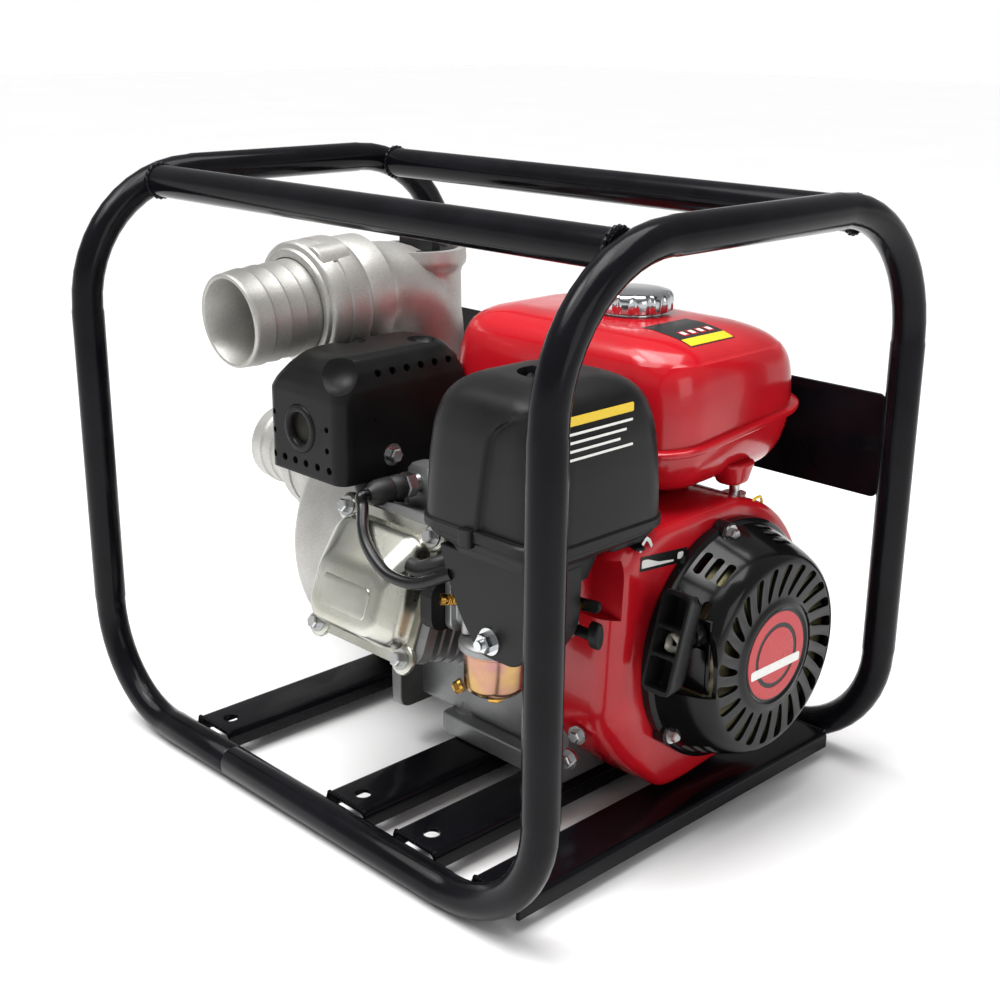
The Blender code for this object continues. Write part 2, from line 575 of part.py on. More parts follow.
low, high = CLEANER_Z
cleaner_cover = solid("air_cleaner_cover", tapered(
    [cleaner_level(0, low, 26), cleaner_level(2, low + 50, 27), cleaner_level(5, low + 80, 28),
     cleaner_level(12, low + 94, 26), cleaner_level(26, high, 20)], on_z), "black_plastic")
cut(cleaner_cover, tapered(
    [cleaner_level(2.7, low - 6, 23), cleaner_level(4.7, low + 50, 24),
     cleaner_level(8, low + 78, 25), cleaner_level(16, low + 91, 22)], on_z),
    disc(17, high - 8, high + 6, stud_axis, ALONG_Z, 20),
    disc(3.8, 300, 340, stud_axis, ALONG_Z, 10))
knob = solid("air_cleaner_knob", disc(13, high - 7.6, high + 3, stud_axis, ALONG_Z, 16),
             "black_plastic", stud_axis + ALONG_Z * high)
cut(knob, disc(3.4, 320, 334.5, stud_axis, ALONG_Z, 10))


# ---------------------------------------------------------------- cooling fan and recoil starter

arc_points = [(CRANK_Y + 103 * math.cos(math.radians(a)), CRANK_Z + 103 * math.sin(math.radians(a)))
              for a in range(100, -91, -10)]
fan_outline = arc_points + [(191, 14), (152, 44), (130, 75), (130, 204), (140, 213), (200, 213)]


def inset_outline(points, inset):
    """Pull an outline towards the shaft by about the wall's thickness."""
    shrunk = []
    for y, z in points:
        away = Vector((y - 215, z - 115))
        away *= 1 - inset / away.length
        shrunk.append((215 + away.x, 115 + away.y))
    return shrunk


fan_cover = solid("fan_cover", prism(fan_outline, *FAN_X, on_x), "red_paint")
cut(fan_cover, prism(inset_outline(fan_outline, 3.5), FAN_X[0] - 5, FAN_X[1] - 2.5, on_x),
    disc(80, 430, 450, SHAFT, ALONG_X, 32))
throttle_pivot = Vector((402.0, 165.0, 214.0))
unite(fan_cover, disc(3, 205, 221, throttle_pivot - ALONG_Z * throttle_pivot.z, ALONG_Z, 10))

flywheel = solid("flywheel", turned(
    [(10.3, 390), (60, 390), (62, 396), (88, 396), (88, 418), (78, 418), (60, 412), (24, 408),
     (24, 420), (10.3, 420)], SHAFT, ALONG_X, 24, ring=True), "cast_aluminium", SHAFT)
cup = solid("starter_cup", turned(
    [(10.3, 420.5), (32, 420.5), (34, 446), (31, 446), (29, 423.5), (10.3, 423.5)],
    SHAFT, ALONG_X, 16, ring=True), "machined_steel", SHAFT)

recoil = solid("recoil_housing", turned(
    [(76, FACE_X), (84, 486), (92, 470), (RIM_R, 452), (RIM_R, FAN_X[1] + GAP),
     (95, FAN_X[1] + GAP), (95, 451), (89, 469), (81, 484), (75, FACE_X - 3)],
    SHAFT, ALONG_X, 32), "black_plastic")
cut(recoil, box((455, 500), (130, GRIP_Y + 22), (104, 194)))
unite(recoil, disc(8, 452, FACE_X - 1, SHAFT, ALONG_X, 12))
for step_angle in range(0, 360, 36):
    angle = math.radians(step_angle)
    slot = []
    for radius, half_width, lean in ((38, 1.8, 0.0), (55, 3.6, 0.1), (70, 4.2, 0.28)):
        slot.append((radius, half_width, angle + lean))
    left = [(r * math.cos(a) - w * math.sin(a), r * math.sin(a) + w * math.cos(a)) for r, w, a in slot]
    right = [(r * math.cos(a) + w * math.sin(a), r * math.sin(a) - w * math.cos(a)) for r, w, a in slot]
    vent = [(CRANK_Y + u, CRANK_Z + v) for u, v in left + right[::-1]]
    cut(recoil, prism(vent, 486, 500, on_x))

solid("recoil_reel", turned(
    [(8.4, 464), (42, 464), (42, 466), (REEL_HUB, 467), (REEL_HUB, 476), (42, 477), (42, 479),
     (8.4, 479)], SHAFT, ALONG_X, 20, ring=True), "black_plastic", SHAFT)

grip_z = CRANK_Z + REEL_HUB + 2.5
lean = math.radians(17)


def grip_point(x, up, out):
    """A point of the T-grip, whose bar leans with its top away from the front."""
    return Vector((x, GRIP_Y + up * math.sin(lean) - out * math.cos(lean),
                   grip_z + up * math.cos(lean) + out * math.sin(lean)))


grip_home = Vector((ROPE_X, GRIP_Y, grip_z))
grip = solid("recoil_grip", tapered(
    [((ROPE_X - 8, ROPE_X + 9), (-32, 32), 6, -11), ((ROPE_X - 12, ROPE_X + 14), (-36, 36), 7, 11)],
    grip_point), "black_plastic", grip_home)
cut(grip, tapered([((ROPE_X - 8.5, ROPE_X + 10.5), (-32, -5), 2, -4),
                   ((ROPE_X - 8.5, ROPE_X + 10.5), (-32, -5), 2, 15)], grip_point),
    tapered([((ROPE_X - 8.5, ROPE_X + 10.5), (-2.5, 32), 2, -4),
             ((ROPE_X - 8.5, ROPE_X + 10.5), (-2.5, 32), 2, 15)], grip_point))
rope_ends = [Vector((ROPE_X, GRIP_Y + 15, grip_z)), Vector((ROPE_X, CRANK_Y - 6, grip_z))]
solid("starter_rope", swept(rope_ends, ROPE_R, 8), "rope_white", grip_home)

throttle = solid("throttle_lever", prism([(396, 171), (396, 159), (408, 157), (448, 141), (452, 147),
                                          (410, 171)], 213.6, 217.6, on_z), "black_enamel", throttle_pivot)
cut(throttle, disc(3.4, 210, 230, Vector((402, 165, 0)), ALONG_Z, 10))


# ---------------------------------------------------------------- fuel tank

def tank_level(inset, height, radius):
    return ((TANK_X[0] + inset, TANK_X[1] - inset), (TANK_Y[0] + inset, TANK_Y[1] - inset),
            radius, height)


bottom, top = TANK_Z
tank = solid("fuel_tank", tapered(
    [tank_level(30, bottom, 20), tank_level(12, bottom + 12, 28), tank_level(3, bottom + 38, 32),
     tank_level(0, 268, 34), tank_level(-5, 268.5, 38), tank_level(-5, 271.5, 38),
     tank_level(0, 272, 34), tank_level(3, 312, 34), tank_level(10, 327, 34),
     tank_level(24, 337, 26), tank_level(40, top, 16)], on_z), "red_paint")
cap_axis = Vector((CAP_X, CAP_Y, 0))
unite(tank, disc(22, 332, 349, cap_axis, ALONG_Z, 24))
cut(tank, tapered(
    [tank_level(34, bottom + 3, 16), tank_level(16, bottom + 14, 24), tank_level(6, bottom + 40, 28),
     tank_level(4, 288, 30), tank_level(8, 312, 30), tank_level(28, 333, 22)], on_z),
    disc(18, 320, 360, cap_axis, ALONG_Z, 24))
cap = solid("fuel_cap", turned([(20, 359), (26, 357.5), (29, 354), (29, 343), (22.6, 343), (22.6, 350)],
                                cap_axis, ALONG_Z, 24), "chrome",
            cap_axis + ALONG_Z * 343)
solid("tank_bracket", box((222.6, 384), (216, 282), (214.5, 225.6)), "black_enamel")
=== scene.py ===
import json
import math

import bmesh
import bpy
from mathutils import Matrix, Vector
from mathutils.bvhtree import BVHTree


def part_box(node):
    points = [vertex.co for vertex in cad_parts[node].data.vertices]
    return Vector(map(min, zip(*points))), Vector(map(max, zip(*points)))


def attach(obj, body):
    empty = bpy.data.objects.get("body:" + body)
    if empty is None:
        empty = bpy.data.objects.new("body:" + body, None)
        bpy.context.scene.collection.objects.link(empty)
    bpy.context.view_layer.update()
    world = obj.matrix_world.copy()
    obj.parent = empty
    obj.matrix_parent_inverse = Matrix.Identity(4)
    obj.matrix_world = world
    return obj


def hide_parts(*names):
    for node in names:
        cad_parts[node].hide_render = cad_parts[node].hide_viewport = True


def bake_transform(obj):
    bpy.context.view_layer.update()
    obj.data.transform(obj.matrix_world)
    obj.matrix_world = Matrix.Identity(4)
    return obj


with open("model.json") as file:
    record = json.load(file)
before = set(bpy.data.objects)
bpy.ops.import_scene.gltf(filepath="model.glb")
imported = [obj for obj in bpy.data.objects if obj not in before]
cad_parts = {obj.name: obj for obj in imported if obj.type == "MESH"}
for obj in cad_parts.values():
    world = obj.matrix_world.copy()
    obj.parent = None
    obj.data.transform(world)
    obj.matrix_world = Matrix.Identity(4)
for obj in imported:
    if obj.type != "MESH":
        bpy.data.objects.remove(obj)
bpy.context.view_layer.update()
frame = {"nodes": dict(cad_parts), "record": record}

# ---- Tube frame: two hoops of 25 mm steel tube, bent cold on a press, whose front and rear foot
# bars meet in a sleeve near the left. Two rails are welded across the top. Gloss black powder coat.

TUBE_R = 12.5
left_low, left_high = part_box("frame_tube_left")
right_low, right_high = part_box("frame_tube_right")
DATUM = left_low + Vector((TUBE_R, TUBE_R, TUBE_R)) / 1000
SPAN_X = (right_high.x - left_low.x) * 1000 - 2 * TUBE_R
SPAN_Y = (left_high.y - left_low.y) * 1000 - 2 * TUBE_R
SPAN_Z = (left_high.z - left_low.z) * 1000 - 2 * TUBE_R
SLEEVE_X = (left_high.x - DATUM.x) * 1000
FOOT_BEND, HOOP_BEND = 85.0, 100.0
X, Y, Z = Vector((1, 0, 0)), Vector((0, 1, 0)), Vector((0, 0, 1))


def square_to(axis):
    """Two directions square to an axis and to each other."""
    side = axis.cross(Z if abs(axis.z) < 0.9 else X).normalized()
    return side, axis.cross(side)


def evenly(count, start=0.0):
    """Angles spread evenly round a circle."""
    return [start + 2 * math.pi * k / count for k in range(count)]


def spoke(turn, side=Y, other=Z):
    """The direction at an angle from one side towards another."""
    return side * math.cos(turn) + other * math.sin(turn)


def skin(rings, joined=False):
    """Skin over rings of points; the two ends are capped, or joined when the rings close."""
    count = len(rings[0])
    points = [p for ring in rings for p in ring]
    faces = []
    for row in range(len(rings) if joined else len(rings) - 1):
        low, high = row * count, (row + 1) % len(rings) * count
        faces += [(low + i, low + (i + 1) % count, high + (i + 1) % count, high + i)
            for i in range(count)]
    if not joined:
        faces += [tuple(range(count)), tuple(range(len(points) - count, len(points)))]
    return points, faces


def joined_up(shapes):
    """Several shapes as one."""
    points, faces = [], []
    for more_points, more_faces in shapes:
        faces += [tuple(i + len(points) for i in face) for face in more_faces]
        points += more_points
    return points, faces


def bent_line(corners, bends, steps=12):
    """Straight runs between square corners, each rounded to its bend, as (point, in a bend)."""
    line = [(corners[0], False)]
    for before, corner, after, bend in zip(corners, corners[1:], corners[2:], bends):
        back, on = (before - corner).normalized(), (after - corner).normalized()
        centre = corner + (back + on) * bend
        line.append((corner + back * (bend + 3), False))
        for i in range(steps + 1):
            turn = math.pi / 2 * i / steps
            line.append((centre - on * bend * math.cos(turn) - back * bend * math.sin(turn), True))
        line.append((corner + on * (bend + 3), False))
    return line + [(corners[-1], False)]


def rings_along(line, radius, sides=28):
    """Round sections along a line; radius is a number or one number for each point."""
    radii = radius if isinstance(radius, list) else [radius] * len(line)
    heading = (line[1] - line[0]).normalized()
    side = square_to(heading)[0]
    rings = []
    for i, (point, r) in enumerate(zip(line, radii)):
        ahead = (line[min(i + 1, len(line) - 1)] - line[max(i - 1, 0)]).normalized()
        side = heading.rotation_difference(ahead) @ side
        heading = ahead
        other = heading.cross(side)
        rings.append([point + spoke(a, side, other) * r for a in evenly(sides)])
    return rings


def add_piece(name, shape, material, body="root", stands_for=(), bevel=0.0, sharp=40):
    """One visible piece from a shape, or a list of shapes, in millimetres. Bevel rounds its sharp
    edges."""
    points, faces = joined_up(shape) if isinstance(shape, list) else shape
    build = bmesh.new()
    verts = [build.verts.new(DATUM + p / 1000) for p in points]
    for face in faces:
        build.faces.new([verts[i] for i in face])
    bmesh.ops.recalc_face_normals(build, faces=build.faces)
    mesh = bpy.data.meshes.new(name)
    build.to_mesh(mesh)
    build.free()
    mesh.shade_smooth()
    mesh.set_sharp_from_angle(angle=math.radians(sharp))
    mesh.materials.append(material)
    made = bpy.data.objects.new(name, mesh)
    bpy.context.scene.collection.objects.link(made)
    if bevel:
        edge = made.modifiers.new("edges", "BEVEL")
        edge.width, edge.segments, edge.limit_method = bevel / 1000, 3, "ANGLE"
        edge.angle_limit = math.radians(sharp)
        edge.harden_normals = True
    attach(made, body)
    if stands_for:
        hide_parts(*stands_for)
    return made


def linear(code):
    """An sRGB hex colour as the linear colour that a shader takes."""
    channels = [((code >> shift) & 255) / 255 for shift in (16, 8, 0)]
    return [c / 12.92 if c <= 0.04045 else ((c + 0.055) / 1.055) ** 2.4 for c in channels] + [1.0]


def add_node(tree, kind, inputs=(), **settings):
    """A shader node with its settings; an input is a value or another node's output."""
    made = tree.nodes.new(kind)
    for key, value in settings.items():
        setattr(made, key, value)
    for socket, value in dict(inputs).items():
        if isinstance(value, bpy.types.NodeSocket):
            tree.links.new(value, made.inputs[socket])
        else:
            made.inputs[socket].default_value = value
    return made


def make_material(name, slot, base, grain_mm, depth_mm, rough, metallic=0.0, tint=None, wear=0.12,
                  **extra):
    """A surface with its own grain: base and tint mix in broad clouds, rough is a pair between
    which the gloss wanders, the grain's bumps are depth_mm deep and grain_mm across, and wear is
    how far the grain lightens and darkens the colour. The slot is not used."""
    made = bpy.data.materials.new(name)
    made.use_nodes = True
    tree = made.node_tree
    shader = tree.nodes["Principled BSDF"]
    place = add_node(tree, "ShaderNodeTexCoord").outputs["Object"]
    clouds = add_node(tree, "ShaderNodeTexNoise", {"Vector": place, "Scale": 28.0, "Detail": 5.0})
    grain = add_node(tree, "ShaderNodeTexNoise", {"Vector": place, "Scale": 1000 / grain_mm,
        "Detail": 3.0, "Roughness": 0.6})
    spread = add_node(tree, "ShaderNodeMapRange", {"Value": clouds.outputs["Fac"], "From Min": 0.35,
        "From Max": 0.65})
    mixed = add_node(tree, "ShaderNodeMix", {"Factor": spread.outputs["Result"], "A": linear(base),
        "B": linear(base if tint is None else tint)}, data_type="RGBA")
    pale = add_node(tree, "ShaderNodeMapRange", {"Value": grain.outputs["Fac"], "From Min": 0.3,
        "From Max": 0.7, "To Min": 1 - wear, "To Max": 1 + wear})
    toned = add_node(tree, "ShaderNodeHueSaturation", {"Color": mixed.outputs[2],
        "Value": pale.outputs["Result"]})
    gloss = add_node(tree, "ShaderNodeMapRange", {"Value": clouds.outputs["Fac"], "From Min": 0.3,
        "From Max": 0.7, "To Min": rough[0], "To Max": rough[1]})
    bump = add_node(tree, "ShaderNodeBump", {"Height": grain.outputs["Fac"], "Strength": 1.0,
        "Distance": depth_mm / 1000})
    tree.links.new(toned.outputs["Color"], shader.inputs["Base Color"])
    tree.links.new(gloss.outputs["Result"], shader.inputs["Roughness"])
    tree.links.new(bump.outputs["Normal"], shader.inputs["Normal"])
    shader.inputs["Metallic"].default_value = metallic
    for socket, value in extra.items():
        shader.inputs[socket.replace("_", " ")].default_value = value
    return made


# Powder coat: deep black, glossy, with the faint orange peel of baked powder.
powder_coat = make_material("black_powder_coat", "frame_paint", 0x0B0B0E, 2.2, 0.02, (0.13, 0.22),
    tint=0x101014, wear=0.05, Specular_IOR_Level=0.1, Coat_Weight=0.05, Coat_Roughness=0.05)
BEND_FLAT, SLEEVE_NECK, SLEEVE_GAP = 0.5, 0.7, 0.3


def frame_half(x_hoop, joint_x):
    """One hoop with its two foot bars; the tube flattens a little through each bend."""
    corners = [Vector(c) for c in ((joint_x, 0, 0), (x_hoop, 0, 0), (x_hoop, 0, SPAN_Z),
        (x_hoop, SPAN_Y, SPAN_Z), (x_hoop, SPAN_Y, 0), (joint_x, SPAN_Y, 0))]
    line = bent_line(corners, (FOOT_BEND, HOOP_BEND, HOOP_BEND, FOOT_BEND))
    radii = [TUBE_R - (BEND_FLAT if bent else 0) for _, bent in line]
    radii[0] = radii[-1] = TUBE_R - SLEEVE_NECK
    inward = 1 if x_hoop > joint_x else -1
    first = (Vector((joint_x + inward * 2, 0, 0)), False)
    last = (Vector((joint_x + inward * 2, SPAN_Y, 0)), False)
    line = [line[0], first, *line[1:-1], last, line[-1]]
    radii = [radii[0], TUBE_R, *radii[1:-1], TUBE_R, radii[-1]]
    return skin(rings_along([p for p, _ in line], radii))


add_piece("left_hoop", frame_half(0, SLEEVE_X), powder_coat, stands_for=["frame_tube_left"])
add_piece("right_hoop", frame_half(SPAN_X, SLEEVE_X + SLEEVE_GAP), powder_coat,
    stands_for=["frame_tube_right"])

rail_low, rail_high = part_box("top_rail_front")
RAIL_Z = ((rail_low.z + rail_high.z) / 2 - DATUM.z) * 1000
for rail in ("top_rail_front", "top_rail_rear"):
    low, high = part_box(rail)
    rail_y = ((low.y + high.y) / 2 - DATUM.y) * 1000
    ends = [Vector((x, rail_y, RAIL_Z)) for x in (8, 30, SPAN_X - 30, SPAN_X - 8)]
    add_piece(f"{rail}_tube", skin(rings_along(ends, TUBE_R)), powder_coat, stands_for=[rail])


def weld_ring(centre, axis, radius, thick, ripples=22):
    """A rippled bead around a joint, laid in short steps by hand."""
    side, other = square_to(axis)
    rings = []
    for turn in evenly(ripples * 4):
        arm = spoke(turn, side, other)
        fat = thick * (1 + 0.18 * math.sin(turn * ripples))
        rings.append([centre + arm * radius + spoke(a, arm, axis) * fat for a in evenly(10)])
    return skin(rings, joined=True)


beads = [weld_ring(Vector((x, y, RAIL_Z)), X, TUBE_R, 2.0) for x in (TUBE_R - 1.5, SPAN_X - TUBE_R
    + 1.5) for y in (66.0, SPAN_Y - 66.0)]
add_piece("rail_welds", beads, powder_coat)

# ---- Base channels: four strips of 3 mm sheet folded to an inverted U and welded between the front
# and rear foot bars. Each has a 12 mm hole near its front end. Same powder coat.

CHANNEL_SHEET, FOLD_R, CHANNEL_HOLE_R = 3.0, 5.0, 6.0


def arc(centre, radius, start, end, steps=8):
    """Points of an arc around a pair, from one angle to another in degrees."""
    angles = [math.radians(start + (end - start) * i / steps) for i in range(steps + 1)]
    return [(centre[0] + radius * math.cos(a), centre[1] + radius * math.sin(a)) for a in angles]


def front_on(u, v, w):
    return Vector((u, w, v))


def prism(outline, start, end, place):
    """An outline of (u, v) pairs drawn out from one height to another."""
    return skin([[place(u, v, w) for u, v in outline] for w in (start, end)])


def lathe(profile, origin, axis, steps=56, ring=True):
    """Revolve (radius, distance along the axis) pairs; a ring's profile closes on itself."""
    axis = axis.normalized()
    side, other = square_to(axis)
    rows = profile if ring else [(0.01, profile[0][1]), *profile, (0.01, profile[-1][1])]
    arms = [spoke(a, side, other) for a in evenly(steps)]
    return skin([[origin + axis * along + arm * radius for arm in arms] for radius, along in rows],
        joined=ring)


def disc(radius, start, end, origin, axis, steps=32):
    return lathe([(radius, start), (radius, end)], origin, axis, steps, ring=False)


def carve(target, *shapes, operation="DIFFERENCE"):
    """Cut shapes out of a piece, or weld them on, and keep only the result."""
    points, faces = joined_up(shapes)
    mesh = bpy.data.meshes.new("cutter")
    mesh.from_pydata([DATUM + p / 1000 for p in points], [], faces)
    build = bmesh.new()
    build.from_mesh(mesh)
    bmesh.ops.recalc_face_normals(build, faces=build.faces)
    build.to_mesh(mesh)
    build.free()
    tool = bpy.data.objects.new("cutter", mesh)
    bpy.context.scene.collection.objects.link(tool)
    others = list(target.modifiers)
    shown = [m.show_viewport for m in others]
    for m in others:
        m.show_viewport = False
    step = target.modifiers.new("carve", "BOOLEAN")
    step.operation, step.solver, step.object = operation, "EXACT", tool
    step.use_self = True
    graph = bpy.context.evaluated_depsgraph_get()
    result = bpy.data.meshes.new_from_object(target.evaluated_get(graph))
    target.modifiers.remove(step)
    for m, was in zip(others, shown):
        m.show_viewport = was
    result.shade_smooth()
    result.set_sharp_from_angle(angle=math.radians(40))
    target.data = result
    bpy.data.objects.remove(tool)


channel_welds = []
for number in range(1, 5):
    low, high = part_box(f"base_channel_{number}")
    middle = ((low.x + high.x) / 2 - DATUM.x) * 1000
    half = (high.x - low.x) * 500
    top, bottom = (high.z - DATUM.z) * 1000, (low.z - DATUM.z) * 1000
    fold = arc((middle - half + FOLD_R, top - FOLD_R), FOLD_R, 180, 90, 5)
    fold += arc((middle + half - FOLD_R, top - FOLD_R), FOLD_R, 90, 0, 5)
    inner = [(middle + half - CHANNEL_SHEET, bottom), (middle + half - CHANNEL_SHEET, top - FOLD_R),
        (middle + half - FOLD_R, top - CHANNEL_SHEET), (middle - half + FOLD_R, top - CHANNEL_SHEET),
        (middle - half + CHANNEL_SHEET, top - FOLD_R), (middle - half + CHANNEL_SHEET, bottom)]
    outline = [(middle - half, bottom), *fold, (middle + half, bottom), *inner]
    reach = ((low.y - DATUM.y) * 1000, (high.y - DATUM.y) * 1000)
    channel = add_piece(f"channel_{number}", prism(outline, *reach, front_on), powder_coat,
        stands_for=[f"base_channel_{number}"], bevel=0.4)
    carve(channel, disc(CHANNEL_HOLE_R, -20, 40, Vector((middle, 30, 0)), Z))
    for y in (reach[0] + 1, reach[1] - 1):
        run = [Vector((middle - half + 2 + (2 * half - 4) * k / 40, y, top - 1)) for k in range(41)]
        channel_welds.append(skin(rings_along(run, [1.7 + 0.4 * math.sin(k * 2.1) for k in range(41)],
            8)))
add_piece("channel_welds", channel_welds, powder_coat)

# ---- Rear plate: one flat sheet across the back, welded between the rear uprights.

plate_low, plate_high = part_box("rear_plate")
span = [((plate_low[i] - DATUM[i]) * 1000, (plate_high[i] - DATUM[i]) * 1000) for i in range(3)]
CORNER = 6.0
plate_outline = (arc((span[0][1] - CORNER, span[2][1] - CORNER), CORNER, 0, 90)
    + arc((span[0][0] + CORNER, span[2][1] - CORNER), CORNER, 90, 180)
    + arc((span[0][0] + CORNER, span[2][0] + CORNER), CORNER, 180, 270)
    + arc((span[0][1] - CORNER, span[2][0] + CORNER), CORNER, 270, 360))
add_piece("back_panel", prism(plate_outline, *span[1], front_on), powder_coat,
    stands_for=["rear_plate"], bevel=0.5)

# ---- Pump: a sand-cast aluminium casing, round and clipped flat at the foot, bolted to a back
# plate on the engine's shaft face. Warm grey, with the grit of the sand mould.

cast_aluminium = make_material("sand_cast_aluminium", "cast_aluminium", 0xB8B6B2, 1.1, 0.12,
    (0.38, 0.52), 0.7, tint=0xACAAA6, wear=0.14)
bright_zinc = make_material("zinc_plated_steel", "machined_steel", 0xC4C6C8, 0.8, 0.01, (0.2, 0.34),
    1.0, tint=0xB4B4B0, wear=0.08)
black_rubber = make_material("black_rubber", "rubber", 0x131314, 0.7, 0.03, (0.45, 0.62), tint=0x1A1A1B)
SHAFT = Vector((0, 249.0, 118.0))
CASING_R, CASING_FRONT, CASING_BACK, CASING_ROUND, CLIP_Z = 117.0, 70.0, 160.0, 14.0, 10.4
PORT_X = 110.0


def clip_flat(target, height):
    """Cut a piece level at a height and close it there."""
    build = bmesh.new()
    build.from_mesh(target.data)
    cut = bmesh.ops.bisect_plane(build, geom=build.verts[:] + build.edges[:] + build.faces[:],
        plane_co=DATUM + Z * height / 1000, plane_no=Z, clear_inner=True)
    edges = [e for e in cut["geom_cut"] if isinstance(e, bmesh.types.BMEdge)]
    bmesh.ops.edgeloop_fill(build, edges=edges)
    build.to_mesh(target.data)
    build.free()


casing_edge = [(CASING_R - CASING_ROUND + r, CASING_FRONT + CASING_ROUND - x)
    for r, x in arc((0, 0), CASING_ROUND, 90, 0, 8)]
casing = add_piece("pump_volute_casing", lathe([(30, CASING_FRONT), *casing_edge,
    (CASING_R, CASING_BACK), (30, CASING_BACK)], SHAFT, X, 96), cast_aluminium,
    stands_for=["pump_casing"], sharp=35)
clip_flat(casing, CLIP_Z)


def hex_bolt(at, axis, size, washer=0.0, height=None):
    """A hex head across flats of size, with a washer of that radius beneath when one is given."""
    axis = axis.normalized()
    side, other = square_to(axis)
    tall = size * 0.6 if height is None else height
    corner = size / math.sqrt(3)
    lift = 1.6 if washer else 0.0
    shapes = [skin([[at + axis * along + spoke(a, side, other) * r for a in evenly(6)]
        for r, along in ((corner, lift), (corner, lift + tall - 1.0), (corner - 1.0, lift + tall))])]
    if washer:
        shapes.append(disc(washer, -0.5, lift, at, axis, 24))
    return joined_up(shapes)


ribs = []
rib_section = [(-3, CASING_FRONT + 2), (3, CASING_FRONT + 2), (2, CASING_FRONT - 4),
    (-2, CASING_FRONT - 4)]
for arm in (spoke(turn) for turn in evenly(8, math.pi / 8)):
    if arm.z > -0.8:
        ribs.append(skin([[SHAFT + arm * r + X.cross(arm) * u + X * v for u, v in rib_section]
            for r in (58, 98)]))
add_piece("casing_ribs", ribs, cast_aluminium, bevel=1.2)
casing_bolts, casing_bosses = [], []
for turn in evenly(6, math.radians(15)):
    at = SHAFT + spoke(turn) * (CASING_R - 5)
    if at.z > 24:
        casing_bosses.append(disc(9.5, 146, 168.5, at, X, 28))
        casing_bolts.append(hex_bolt(at + X * 146, -X, 10, washer=9))
add_piece("casing_bosses", casing_bosses, cast_aluminium, bevel=1)
add_piece("casing_bolts", casing_bolts, bright_zinc)
add_piece("drain_plug", [disc(13, -3, 2, Vector((CASING_FRONT, 249, 32)), -X),
    hex_bolt(Vector((CASING_FRONT - 2, 249, 32)), -X, 17)], bright_zinc)

adapter = add_piece("pump_adapter", lathe([(14, 160.3), (CASING_R, 160.3), (CASING_R, 167.5),
    (CASING_R - 1.5, 169), (70, 170.5), (62, 174), (58, 181), (59, 187), (64, 190), (70, 191),
    (70, 195.7), (14, 195.7)], SHAFT, X, 96), cast_aluminium, stands_for=["pump_back_plate"])
clip_flat(adapter, CLIP_Z)
webs = []
for arm in (spoke(turn) for turn in evenly(6)):
    webs.append(skin([[SHAFT + arm * r + X.cross(arm) * u + X * v
        for u, v in ((-2.5, 168), (2.5, 168), (2.5, top), (-2.5, top))]
        for r, top in ((56, 189), (66, 180), (98, 169.5))]))
add_piece("adapter_webs", webs, cast_aluminium, bevel=0.8)

# ---- Hose barbs and union nuts: a ridged cast barb for a 75 mm hose at each port, drawn in by a
# cast nut with three lugs for a hook spanner. The bores show the same sand-cast skin.

BARB_R, BARB_BORE, NUT_R = 37.5, 32.5, 50.0
OUTLET_DROP = math.radians(4)
OUTLET_AXIS = Vector((0, math.cos(OUTLET_DROP), math.sin(OUTLET_DROP)))
OUTLET_MOUTH = Vector((PORT_X, 56.0, 328.0))
INLET_MOUTH = Vector((-96.0, 249.0, 154.0))
RIDGES, RIDGE_PITCH = 4, 15.0
for end, mouth, axis in (("inlet", INLET_MOUTH, X), ("outlet", OUTLET_MOUTH, OUTLET_AXIS)):
    side, other = square_to(axis)
    barb = [(BARB_BORE, 1.2), (BARB_BORE + 1.2, 0), (BARB_R - 2.2, 0), (BARB_R - 1.1, 1.2),
        (BARB_R - 0.9, 4)]
    for k in range(RIDGES):
        start = 4 + RIDGE_PITCH * k
        barb += [(BARB_R + 0.3, start + 12), (BARB_R + 0.4, start + 13), (BARB_R + 0.1, start + 13.6),
            (BARB_R - 0.8, start + 14.3), (BARB_R - 0.9, start + 15)]
    barb = barb[:-2] + [(BARB_R, 65.8), (43, 66.2), (43, 73.7), (BARB_BORE, 73.7)]
    add_piece(f"{end}_barb", lathe(barb, mouth, axis, 72), cast_aluminium,
        stands_for=[f"{end}_hose_barb"], sharp=50)
    nut = [(BARB_R + 1.2, 61), (43.5, 60.6), (44.6, 61.4), (45.2, 64), (47.6, 64.4),
        (NUT_R - 0.8, 65.4), (NUT_R, 67), (NUT_R, 78), (NUT_R - 1.4, 79), (NUT_R - 1.4, 82),
        (NUT_R, 83), (NUT_R, 97), (NUT_R - 1.2, 101), (47, 103.7), (44.6, 103.7), (44.6, 65.4),
        (BARB_R + 1.2, 65.4)]
    add_piece(f"{end}_union_nut", lathe(nut, mouth, axis, 72), cast_aluminium, body=f"{end}_union",
        stands_for=[f"{end}_nut"], sharp=50)
    lugs = []
    for arm in (spoke(turn, side, other) for turn in evenly(3, math.radians(-60))):
        lugs.append(skin([[mouth + axis * a + arm * r + axis.cross(arm) * t
            for r, t in ((47.5, -wide), (53.6, -4), (53.6, 4), (47.5, wide))]
            for a, wide in ((67, 13), (97, 11))]))
    add_piece(f"{end}_nut_lugs", lugs, cast_aluminium, body=f"{end}_union", bevel=2.0)

# ---- Suction flange: a turned and cast neck screwed to the casing's front, with the check flap
# hanging inside it from a rubber hinge.

